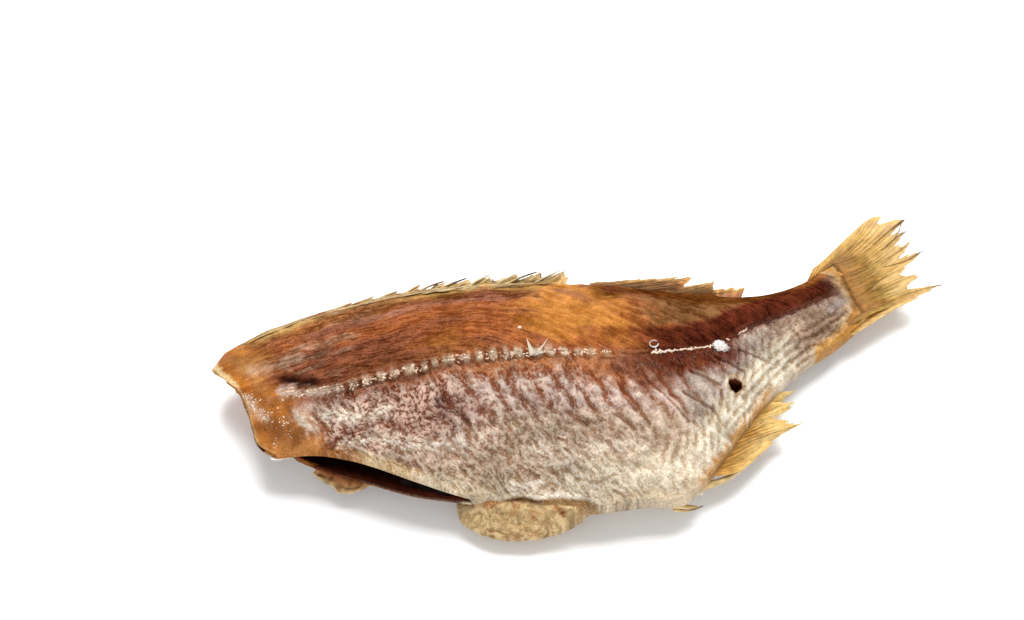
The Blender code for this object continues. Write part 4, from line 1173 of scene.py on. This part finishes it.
softDorsalLook = {
    **finLook, "rays": 24, "seed": 461, "tipHeight": 12.2, "webColumns": 90, "webRows": 12,
    "webReach": 0.95, "fray": 0.15, "strands": 130, "from": (-0.4, 0.5), "to": (0.1, 1.0),
    "tips": [3 / 7, 5 / 7, 1.0], "wander": 0.05, "shortest": 0.35, "spread": 0.8, "tone": (0.75, 1.2),
    "darkFrom": (0.1, 0.6), "darkColour": (0.24, 0.12, 0.03),
    "colours": ["bark", "bark", "goldBrown", "straw"],
}
pelvicLook = {
    **finLook, "rays": 7, "seed": 491, "tipHeight": 6.8, "wave": 2.2, "thickness": 0.5,
    "webColumns": 50, "webRows": 24, "fray": 0.06, "strands": 24, "tips": [3 / 5], "wander": 0.02,
    "shortest": 0.4, "spread": 0.4, "tone": (0.7, 1.1), "darkFrom": (0.0, 0.4),
    "darkColour": (0.2, 0.08, 0.02), "colours": ["bark", "goldBrown", "sand"],
}
spinyLook = {
    **finLook, "spines": 13, "fromX": -107.0, "toX": 0.0, "tipShare": 0.9, "notch": 0.4,
    "firstReach": 0.5, "lean": 5.0, "rays": 40, "seed": 521, "tipHeight": 13.9,
    "webColumns": 210, "webRows": 10, "webReach": 0.95, "fray": 0.2, "strands": 320,
    "from": (-0.14, 0.87), "to": (0.01, 1.0), "pull": 0.2, "pullWithin": 0.05, "tips": [],
    "wander": 0.04, "shortest": 0.4, "spread": 1.0, "tipShareRadius": 0.45, "tone": (0.6, 1.25),
    "darkColour": (0.08, 0.045, 0.02), "colours": ["goldBrown", "straw", "sand"],
    "darkTips": [(0.9, 0.76, 0.012), (0.9, 0.83, 0.012), (0.9, 0.9, 0.012)],
}


def spinyRim(look):
    pitch = (look["toX"] - look["fromX"]) / look["spines"]
    rim = [(look["fromX"], float(backEdge(look["fromX"])) + look["firstReach"])]
    for i in range(look["spines"]):
        tipX = look["fromX"] + (i + look["tipShare"]) * pitch
        notchX = look["fromX"] + (i + 1) * pitch
        rim.append((tipX, float(backEdge(tipX) + dorsalReach(tipX))))
        rim.append((notchX, float(backEdge(notchX) + (1 - look["notch"]) * dorsalReach(notchX))))
    return rim


def tailRoots(c):
    shares, xs, ys = np.array(tailRoot).T
    return np.stack((np.interp(c, shares, xs), np.interp(c, shares, ys), 9.0 + 0 * c), axis=-1)


def pelvicRoots(c):
    roots = rootsAlong(bellyEdge, (-97.0, -77.0), 1.2)(c)
    roots[..., 2] -= slitHalfGap(roots[..., 0]) + body["lip"] / 2
    return roots


spinyEnds = (spinyLook["fromX"] - spinyLook["lean"], spinyLook["toX"] - spinyLook["lean"])
finPlans = {
    "tail_fin": (tailLook, tailRoots, tailRim),
    "anal_fin": (analLook, rootsAlong(bellyEdge, (50.0, 20.0), 4.0), analRim),
    "soft_dorsal_fin": (softDorsalLook, rootsAlong(backEdge, (3.0, 53.0), -3.0), softDorsalRim),
    "pelvic_fin": (pelvicLook, pelvicRoots, pelvicRim),
    "spiny_dorsal_fin": (spinyLook, rootsAlong(backEdge, spinyEnds, -3.0), spinyRim(spinyLook)),
}
fins = []
for name, (look, roots, rim) in finPlans.items():
    sheet = finSheet(look, roots, rim)
    fins += [finWeb(name, look, sheet), finStrands(name + "_rays", look, sheet)]
print("fins made")


# Single spines, hairs and slivers, each a line of points with a radius at each

def curveThrough(knots, joints):   # a smooth path through a few points
    knots = np.array(knots, float)
    shares = np.linspace(0, 1, len(knots))
    fine = np.linspace(0, 1, joints + 1)
    return np.stack([smoothThrough(*zip(shares, knots[:, axis]))(fine) for axis in range(3)], axis=-1)


def rods(name, plans, material, joints=14, sides=8):
    paths, radii, tints = [], [], []
    for knots, thick, thin, rootColour, tipColour in plans:
        t = np.linspace(0, 1, joints + 1)
        paths.append(curveThrough(knots, joints))
        radii.append(mix(thick, thin, t) * closedEnds(t))
        tints.append(mix(np.array(rootColour), np.array(tipColour), blend(t, 0.35, 0.85)[:, None]))
    return strandObject(name, np.stack(paths), np.stack(radii), np.stack(tints), material, sides)


spines = {
    "firstTipX": -98.0, "lastTipX": -2.0, "back": 17.0, "thick": 0.55, "thin": 0.22,
    "height": 14.6, "uneven": 0.8, "tipHeight": 14.0, "sunk": 1.5, "bow": 0.42,
    "bone": (0.62, 0.45, 0.2), "dark": (0.04, 0.03, 0.02), "white": (0.85, 0.78, 0.62),
    "darkFrom": 7, "whiteTips": (9, 10, 12),
}


def spinyRods():
    plans = []
    count = spinyLook["spines"]
    for i in range(count):
        tipX = spines["firstTipX"] + (spines["lastTipX"] - spines["firstTipX"]) * i / (count - 1)
        reach = float(dorsalReach(tipX)) * (0.92 + 0.08 * math.sin(2.3 * i))
        footX = tipX - spines["back"] * (0.8 + 0.2 * math.sin(1.7 * i + 1))
        middleX = (footX + tipX) / 2
        z = spines["height"] + spines["uneven"] * math.sin(3.1 * i)
        foot = (footX, float(backEdge(footX)) - spines["sunk"], z)
        middle = (middleX, float(backEdge(middleX)) + spines["bow"] * reach, z + 0.3)
        tip = (tipX, float(backEdge(tipX)) + reach, spines["tipHeight"])
        tone = "dark" if i >= spines["darkFrom"] else "bone"
        if i in spines["whiteTips"]:
            tone = "white"
        plans.append(([foot, middle, tip], spines["thick"], spines["thin"], spines["bone"], spines[tone]))
    return rods("dorsal_spines", plans, finSkin)


# Each with its points, its radius at the root and at the tip, and its tone at both
boneTone, strawTone, hairTone = (0.8, 0.66, 0.42), (0.74, 0.55, 0.26), (0.55, 0.38, 0.14)
greyTone, pinkTone, whiteTone = (0.1, 0.09, 0.07), (0.84, 0.68, 0.52), (0.92, 0.88, 0.78)
singles = [
    ([(19, -43.6, 8.9), (30, -42.3, 8.9), (42, -36.4, 8.4)], 1.45, 0.45, strawTone, boneTone),
    ([(8, -47, 8.8), (13, -49, 8.7), (17.5, -50, 8.3)], 1.3, 0.35, strawTone, hairTone),
    ([(9, -48.6, 7.8), (14, -50, 7.4), (19.5, -49.4, 7.2)], 0.6, 0.2, strawTone, greyTone),
    ([(19.6, -47, 9.6), (18.6, -43.5, 10.6), (20.6, -41, 11), (22.8, -42.4, 10)], 0.8, 0.45,
     pinkTone, pinkTone),
    ([(106, 34, 10.3), (114, 38.5, 10.6), (121.6, 41.8, 10.8)], 0.3, 0.15, hairTone, greyTone),
    ([(108, 31, 10.4), (115.5, 35.6, 10.9), (119.5, 40.6, 11.4)], 0.35, 0.15, hairTone, greyTone),
    ([(108, 27, 10.2), (116, 30, 10.8), (123.6, 35.4, 11)], 0.3, 0.12, hairTone, hairTone),
    ([(106, 24, 10.2), (116, 25, 10.6), (124.9, 28.1, 10.6)], 0.3, 0.12, hairTone, greyTone),
    ([(104, 14, 10), (115, 12.5, 10.3), (125, 11.6, 10.6)], 0.35, 0.12, hairTone, greyTone),
    ([(104, 12.5, 10), (114, 11.6, 10.2), (122.6, 13.6, 10.9)], 0.3, 0.12, hairTone, hairTone),
    ([(52, -20, 8.4), (57, -17.6, 8.4), (62, -14.8, 8.6)], 0.3, 0.12, hairTone, hairTone),
    ([(48, -30, 8.4), (54, -29.6, 8.3), (61, -27.6, 8.4)], 0.35, 0.15, strawTone, strawTone),
]
shards = [
    ([(-112, -2.6, 14.6), (-109.6, -3.6, 14.4), (-106.8, -3.6, 14.6)], 0.75, 0.5, whiteTone, whiteTone),
    ([(-108.6, -2.2, 14.8), (-106, -3.2, 14.5), (-104, -3.0, 14.8)], 0.55, 0.4,
     (0.85, 0.72, 0.58), (0.9, 0.85, 0.75)),
    ([(-107, -4.0, 14.0), (-105.6, -3.2, 14.2), (-103.4, -3.4, 14.2)], 0.4, 0.2,
     whiteTone, (0.8, 0.7, 0.6)),
]


band = {
    "count": 420, "seed": 611, "fromX": -104.0, "toX": -4.0, "long": (14.0, 34.0), "joints": 9,
    "startInset": smoothThrough(
        (-118, 4), (-100, 5), (-80, 5.6), (-60, 6.2), (-30, 6.5), (0, 4.6), (12, 3.6)),
    "endShare": (-0.1, 0.85), "radius": (0.12, 0.26), "lift": -0.1,
    "tones": [(0.62, 0.34, 0.09), (0.72, 0.5, 0.23), (0.42, 0.19, 0.045), (0.6, 0.38, 0.14),
              (0.16, 0.08, 0.03)],
    "tip": (0.07, 0.05, 0.03), "darkEnds": (-60, -52, 0, 4), "darkShare": 0.35,
}


def dorsalBand():   # long strands of fin that lie along the back and run out over its edge
    number = np.arange(band["count"])
    pick = drawer(number, band["seed"])
    t = np.linspace(0, 1, band["joints"] + 1)[None, :]
    length = mix(*band["long"], pick(1))
    room = band["toX"] - band["fromX"] - length * 0.5
    tipX = band["fromX"] + length * 0.5 + room * (number[:, None] + pick(2)) / band["count"]
    x = tipX - length * (1 - t)
    startInset = band["startInset"](x[:, :1]) * (0.55 + 0.45 * pick(3))
    reach = dorsalReach(np.clip(x[:, -1:], -107, 0)) * mix(*band["endShare"], pick(4))
    beyond = -startInset * (1 - t**1.8) + reach * t**3
    y = backEdge(x) + beyond
    z = skinTop(x, y) + band["lift"] - 0.2 * np.clip(beyond, 0, 3)
    radii = mix(*band["radius"], pick(5)) * (1 - 0.6 * t) * closedEnds(t)
    tones = np.array(band["tones"])[(pick(6)[:, 0] * len(band["tones"])).astype(int)][:, None, :]
    tint = tones * (0.8 + 0.4 * pick(7))[..., None] + 0 * t[..., None]
    dark = (pick(8) < band["darkShare"]) * between(x, band["darkEnds"]) * blend(t, 0.5, 0.8)
    tint = mix(tint, np.array(band["tip"]), dark[..., None])
    return strandObject("dorsal_band", np.stack((x, y, z), axis=-1), radii, tint, finSkin)


fins += [spinyRods(), dorsalBand(), rods("loose_rays_and_spines", singles, finSkin)]
slivers = [rods("throat_bones", shards, crust)]
print("spines and slivers made")


# Crusts along the lateral line, salt at the head cut, and the pale blob, all set on the skin

def skinTree(target):
    bm = bmesh.new()
    bm.from_mesh(target.data)
    tree = BVHTree.FromBMesh(bm)
    bm.free()
    return tree


onSkin = skinTree(fish)


def skinSpot(x, y):   # where a line straight down meets the skin, in metres, and the skin's normal there
    start = Vector(place((x, y, 60)))
    return onSkin.ray_cast(start, Vector((0, 0, -1)))[:2]


def skinHeight(x, y):
    return skinSpot(x, y)[0].z / mm


flake = {   # of each blade: its foot, its end, how far the end stands off, and both widths
    "blades": [((-23.0, 6.0), (-23.6, 11.8), 0.7, 2.2, 0.15), ((-21.6, 6.2), (-16.8, 10.6), 0.7, 1.0, 0.1),
               ((-22.2, 6.4), (-19.4, 6.4), 0.4, 1.5, 0.6)],
    "footLift": 0.35, "steps": 6, "cupped": 0.5, "thickness": 0.12, "tone": (0.62, 0.5, 0.38),
}


def makeFlake():   # a loose pale flake of a few thin blades that stand off the skin
    bm = bmesh.new()
    blades = []
    t = np.linspace(0, 1, flake["steps"] + 1)[:, None, None]
    across = np.linspace(-0.5, 0.5, 3)[None, :, None]
    for foot, tip, lift, wide, narrow in flake["blades"]:
        bmesh.ops.create_grid(bm, x_segments=2, y_segments=flake["steps"], size=1)
        start = np.array((*foot, skinHeight(*foot) + flake["footLift"]))
        out = np.array((*tip, skinHeight(*tip) + lift)) - start
        sideways = np.cross(out, (0, 0, 1.0))
        sideways = sideways / np.linalg.norm(sideways)
        width = mix(wide, narrow, t)
        cupped = np.array((0, 0, flake["cupped"])) * across**2 * width
        blades.append(start + out * t + sideways * across * width + cupped)
    points = np.stack(blades)
    tint = np.ones(points.shape) * np.array(flake["tone"])
    made = finishedObject("loose_flake", bm, points, {"tint": withAlpha(tint)}, crust)
    return thicken(made, flake["thickness"])


def lumps(name, plans, material, detail=1):   # small uneven balls set on the skin
    bm = bmesh.new()
    layer = bm.verts.layers.float_color.new("tint")
    for number, (x, y, sizes, spin, tilt, tone) in enumerate(plans):
        spot, normal = skinSpot(x, y)
        if spot is None:
            continue
        stand = normal.to_track_quat("Z", "Y").to_matrix().to_4x4() @ Matrix.Rotation(spin, 4, "Z")
        stand = stand @ Matrix.Rotation(tilt, 4, "X")
        made = bmesh.ops.create_icosphere(bm, subdivisions=detail, radius=1)["verts"]
        for k, vert in enumerate(made):
            swollen = 0.65 + 0.7 * float(scramble(k, number, 77))
            vert.co = Vector([vert.co[a] * sizes[a] * swollen * mm for a in range(3)])
            shade = 0.8 + 0.35 * float(scramble(k, number, 78))
            vert[layer] = (*[min(part * shade, 1) for part in tone], 1)
        bmesh.ops.transform(bm, matrix=Matrix.Translation(spot) @ stand, verts=made)
        for vert in made:
            vert.co.z = min(vert.co.z, cadBox[1][2] - boxMargin)
    mesh = bpy.data.meshes.new(name)
    bm.to_mesh(mesh)
    bm.free()
    if detail > 1:
        mesh.shade_smooth()
    mesh.materials.append(material)
    return linked(name, mesh)


beads = {
    "fromX": -105.0, "toX": 8.0, "seed": 91, "most": 30, "spread": (2.5, 1.5), "tilt": 1.6,
    "size": (0.3, 0.85), "thickness": (0.1, 0.22), "pale": (0.86, 0.63, 0.46), "brown": (0.4, 0.17, 0.08),
    "stitchEnds": (16.0, 53.0), "stitchStep": 0.62, "stitch": (0.72, 0.3, 0.28),
}


def beadPlans():   # clumps of crumbs on the scales of the line
    plans = []
    for i in range(int((beads["toX"] - beads["fromX"]) / grain["scalePitch"])):
        middleX = beads["fromX"] + (i + 0.4 * float(scramble(i, 3, 5))) * grain["scalePitch"]
        share = float(lineDensity(middleX)) * (0.15 + 0.85 * float(scramble(i, 4, 5)))
        for k in range(round(beads["most"] * share)):
            pick = draws(i * 40 + k, 9, beads["seed"])
            x = middleX + beads["spread"][0] * (pick[0] + pick[1] - 1)
            y = float(lateralLine(x) - lineDrop(x)) + beads["spread"][1] * (pick[2] + pick[3] - 1)
            size = mix(*beads["size"], pick[4] ** 2)
            sizes = (size, size * (0.4 + 0.5 * pick[7]), mix(*beads["thickness"], pick[5]))
            tone = [mix(a, b, 0.8 * pick[6] ** 2) for a, b in zip(beads["pale"], beads["brown"])]
            plans.append((x, y, sizes, 6.3 * pick[7], beads["tilt"] * (pick[8] - 0.5), tone))
    return plans


def stitchPlans():   # a row of narrow stitches along the line near the tail
    plans = []
    first, last = beads["stitchEnds"]
    for i in range(int((last - first) / beads["stitchStep"])):
        pick = draws(i, 4, beads["seed"] + 1)
        x = first + (i + 0.5 * pick[0]) * beads["stitchStep"]
        if pick[1] > float(lineDensity(x)):
            continue
        sizes = [part * (0.7 + 0.6 * pick[2]) for part in beads["stitch"]]
        y = float(lateralLine(x) - lineDrop(x)) + 0.5 * (pick[3] - 0.5)
        plans.append((x, y, sizes, 0.9 * (pick[3] - 0.5), 0.0, beads["pale"]))
    return plans


salt = {
    "clusters": [(-115.0, 17.0, 12), (-113.0, 14.5, 16), (-115.2, 12.0, 14), (-111.5, 9.3, 22),
                 (-110.9, 6.8, 14), (-106.2, 4.1, 8), (-104.3, 0.5, 6), (-109.5, -1.2, 5),
                 (-107.0, 8.0, 5)],
    "spread": 2.6, "seed": 97, "size": (0.1, 0.24), "tone": (0.88, 0.78, 0.66),
}


def saltPlans():
    plans = []
    for number, (middleX, middleY, count) in enumerate(salt["clusters"]):
        for k in range(count):
            pick = draws(number * 100 + k, 6, salt["seed"])
            x = middleX + salt["spread"] * (pick[0] + pick[1] - 1)
            y = middleY + salt["spread"] * (pick[2] + pick[3] - 1)
            size = mix(*salt["size"], pick[4] ** 2)
            plans.append((x, y, (size * (1 + pick[5]), size, size * 0.7), 6.3 * pick[5], 0.0, salt["tone"]))
    return plans


# x, y, half sizes, turn, tilt and tone of single lumps
blobPlans = [
    (39.4, 0.0, (2.3, 2.0, 1.1), 0.4, 0.0, (0.8, 0.72, 0.68)),
    (38.2, 1.2, (1.3, 1.1, 0.9), 1.0, 0.2, (0.86, 0.8, 0.76)),
    (40.8, -1.0, (1.4, 1.3, 0.8), 2.0, 0.0, (0.5, 0.42, 0.4)),
    (40.2, 1.4, (1.0, 0.9, 0.8), 0.2, 0.3, (0.82, 0.76, 0.72)),
]
extraPlans = [
    (-24.6, 17.4, (0.9, 0.7, 0.35), 0.3, 0.2, (0.8, 0.64, 0.5)),
    (17.6, 1.8, (1.0, 0.6, 0.3), 0.1, 0.2, (0.8, 0.64, 0.56)),
    (19.0, 1.4, (0.8, 0.5, 0.3), 0.1, 0.2, (0.8, 0.64, 0.56)),
    (21.0, 0.8, (1.2, 0.5, 0.3), 0.4, 0.1, (0.8, 0.66, 0.6)),
]
crusts = [
    lumps("line_crusts", beadPlans() + stitchPlans() + extraPlans, crust),
    lumps("cut_salt", saltPlans(), crust),
    lumps("pale_blob", blobPlans, crust, 3),
]


curl = {
    "at": (17.4, 3.8), "turns": (0.3, 2 * math.pi), "reach": (1.5, 1.3), "lift": 0.35,
    "thick": 0.3, "thin": 0.22, "root": (0.45, 0.3, 0.26), "tip": (0.8, 0.7, 0.66),
}


def ringCurl():   # a small curled scale that stands on the skin above the lateral line
    middle = np.array(skinSpot(*curl["at"])[0]) / mm - np.array(frameShift)
    wide, deep = curl["reach"]
    turns = np.linspace(*curl["turns"], 7)
    knots = [middle + np.array((wide * math.cos(a), deep * math.sin(a), curl["lift"])) for a in turns]
    return rods("curled_scale", [(knots, curl["thick"], curl["thin"], curl["root"], curl["tip"])], crust)


crusts += [ringCurl(), makeFlake()]
print("crusts made")


# The belly wall that sags out under the upper one, and the dark lining that hangs in the slit

bulge = {
    "at": (-36.0, -35.0, 6.6), "halfAxes": (22.5, 13.0, 5.8), "turn": -9.0, "rings": 90, "around": 200,
    "creases": 0.8, "creaseEnds": (-60, -50, -24, -15), "lumps": 0.3, "flattened": 0.93, "lowered": 0.2,
    "ragged": 0.035, "liftEnds": (-58, -46, -22, -13), "liftFrom": (-6.5, 0.8), "above": 1.6,
    "marks": (0.7, 0, 0, 0.05), "flow": 0.8, "share": (0.64, 0.5, 0.35),
}
# colour, size of its patches along and across, seed, where it starts and is full, how strongly
bulgePaint = [
    ("gold", 6, 4, 641, (0.0, 0.5), 0.4), ("goldBrown", 5, 3.2, 643, (0.1, 0.5), 0.85),
    ("umber", 3, 2.6, 647, (0.35, 0.6), 0.6),
]


def makeBulge(material):
    polar = np.linspace(0, math.pi, bulge["rings"] + 1)[:, None]
    around = np.linspace(0, 2 * math.pi, bulge["around"] + 1)[None, :]
    ball = np.stack((np.sin(polar) * np.cos(around), np.sin(polar) * np.sin(around),
                     np.cos(polar) + 0 * around), axis=-1)
    local = ball * np.array(bulge["halfAxes"])
    angle = math.radians(bulge["turn"])
    x = local[..., 0] * math.cos(angle) - local[..., 1] * math.sin(angle) + bulge["at"][0]
    y = local[..., 0] * math.sin(angle) + local[..., 1] * math.cos(angle) + bulge["at"][1]
    edge = np.sin(polar)
    bent = 0.9 * hills(x / 5, y / 5, 620)
    creases = (pillows((x + 0.4 * y) / 4.4 + bent, (y + 0.5 * x) / 2.8, 611, 4) - 0.6) * edge
    creases = creases * between(x, bulge["creaseEnds"])
    lumpy = roughHills(x / 2.2, y / 2.2, 617) * edge
    inward = 1 - bulge["ragged"] + bulge["ragged"] * roughHills(x / 2.0, 0 * y, 631) + 0.02 * creases
    x = bulge["at"][0] + (x - bulge["at"][0]) * inward
    y = bulge["at"][1] + (y - bulge["at"][1]) * inward
    z = bulge["at"][2] + local[..., 2] * bulge["flattened"]
    z = z + bulge["creases"] * creases + bulge["lumps"] * lumpy - bulge["lowered"]
    z = np.clip(z, 0.05, bulge["at"][2] + bulge["halfAxes"][2])
    near, full = bulge["liftFrom"]
    lift = blend(y, bellyEdge(x) + near, bellyEdge(x) + full) * blend(ball[..., 2], -0.1, 0.2)
    lift = lift * between(x, bulge["liftEnds"])   # up to the flank that it hangs from
    z = z + lift * np.maximum(middleHeight(x) + bulge["above"] + 0.5 * creases - z, 0)

    rise = bulge["creases"] * creases + bulge["lumps"] * lumpy
    tint = np.broadcast_to(np.array(palette["wrinkle"]), x.shape + (6,))
    for colour, along, across, seed, ends, strength in bulgePaint:
        tint = cover(tint, colour, strength * blend(roughHills(x / along, y / across, seed), *ends))
    tint = cover(tint, "bark", 0.6 * blend(roughHills(x / 7 + 3, y / 3.5, 653), 0.25, 0.55))
    # painted highlight: the raised creases and lumps are painted paler
    tint = cover(tint, "sand", 0.8 * blend(creases + lumpy, 0.0, 0.8))
    # painted light: the share lightens the bulge's ridges and shades its creases
    usual, swing, softness = bulge["share"]
    share = usual + swing * np.tanh((rise - blurred(rise, 6)) / softness)
    points = np.stack((x, y, z), axis=-1)
    attributes = {"tint": np.concatenate((tint[..., :3], share[..., None]), axis=-1),
                  "deep": withAlpha(tint[..., 3:]), "flow": bulge["flow"] * points,
                  "marks": np.broadcast_to(np.array(bulge["marks"], float), x.shape + (4,))}
    made = gridObject("belly_wall_bulge", points, attributes, material)
    closeSeams(made)
    return made


lining = {
    "ends": (-73.0, -55.0), "columns": 60, "rows": 20, "thickness": 0.4, "past": 0.6, "inset": 1.6,
    "crumple": 1.1, "sag": 1.5, "tone": (0.008, 0.005, 0.005), "crumpleHighlight": (0.08, 0.05, 0.045), "gloss": 0.15,
}


def makeLining():
    c = np.linspace(0, 1, lining["columns"] + 1)[None, :]
    t = np.linspace(0, 1, lining["rows"] + 1)[:, None]
    x = mix(*lining["ends"], c) + 0 * t
    reach = slitHalfGap(x) + lining["past"]
    crumple = roughHills(x / 2.2, t * 3, 701)
    y = bellyEdge(x) + lining["inset"] + lining["crumple"] * crumple
    y = y - lining["sag"] * np.sin(math.pi * t) * np.sin(math.pi * c)
    z = middleHeight(x) + reach * (1 - 2 * t * (0.75 + 0.25 * hills(x / 3, 0 * x, 705))) + 0.4 * crumple
    # painted light: crumples that stand out are paler and those sunk in darker, with a painted highlight on
    # their tops
    tint = np.array(lining["tone"]) * (1 + 1.2 * crumple[..., None])
    tint = tint + np.array(lining["crumpleHighlight"]) * blend(crumple, 0.45, 0.7)[..., None]
    marks = np.stack((lining["gloss"] + 0 * x, 0 * x, 0 * x, 0 * x), axis=-1)
    points = np.stack((x, y, z), axis=-1)
    attributes = {"tint": withAlpha(tint), "deep": withAlpha(0.5 * tint), "marks": marks, "flow": points}
    return thicken(gridObject("dark_lining", points, attributes, skin), lining["thickness"])


walls = [fish, makeBulge(skin), makeLining()]
print("belly wall and lining made")

for piece in walls + slivers + crusts:
    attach(piece, "root")
for piece in fins:
    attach(piece, "root")


# Floor, light and camera

stageLook = {   # places and sizes in metres, powers in watts
    "floorColour": (0.97, 0.97, 0.97, 1), "worldStrength": 0.52,
    "keyAt": (0.3, 0.85, 1.85), "keySize": 1.2, "keyPower": 68.0,
    "fillAt": (-0.7, -2.2, 0.9), "fillSize": 1.2, "fillPower": 32.0,
}


def makeFloor():
    bm = bmesh.new()
    bmesh.ops.create_grid(bm, x_segments=1, y_segments=1, size=3)
    mesh = bpy.data.meshes.new("floor")
    bm.to_mesh(mesh)
    bm.free()
    mesh.materials.append(newMaterial("pale_floor", {
        "Base Color": stageLook["floorColour"], "Roughness": 0.85, "Specular IOR Level": 0.2})[0])
    linked("floor", mesh)


def areaLight(name, at, size, power):
    light = bpy.data.lights.new(name, "AREA")
    light.size = size
    light.energy = power
    lamp = linked(name, light)
    lamp.location = at
    lamp.rotation_mode = "QUATERNION"
    lamp.rotation_quaternion = (-Vector(at)).to_track_quat("-Z", "Y")


view = {
    "azimuth": -14.0, "elevation": 55.0, "lens": 70.0, "distance": 672.0, "target": (-22.76, 34.94, 14.0),
}


def makeCamera():
    a, e = math.radians(view["azimuth"]), math.radians(view["elevation"])
    back = Vector((math.sin(a) * math.cos(e), -math.cos(a) * math.cos(e), math.sin(e)))
    camera = linked("camera", bpy.data.cameras.new("camera"))
    camera.data.lens = view["lens"]
    camera.data.sensor_width = 36
    camera.location = Vector(place(view["target"])) + back * view["distance"] * mm
    camera.rotation_mode = "QUATERNION"
    camera.rotation_quaternion = (-back).to_track_quat("-Z", "Y")
    scene.camera = camera


makeFloor()
areaLight("key", stageLook["keyAt"], stageLook["keySize"], stageLook["keyPower"])
areaLight("fill", stageLook["fillAt"], stageLook["fillSize"], stageLook["fillPower"])
world = bpy.data.worlds.new("studio")
world.use_nodes = True
world.node_tree.nodes["Background"].inputs["Color"].default_value = (1, 1, 1, 1)
world.node_tree.nodes["Background"].inputs["Strength"].default_value = stageLook["worldStrength"]
scene.world = world
scene.view_settings.view_transform = "Standard"
makeCamera()
print("stage set")
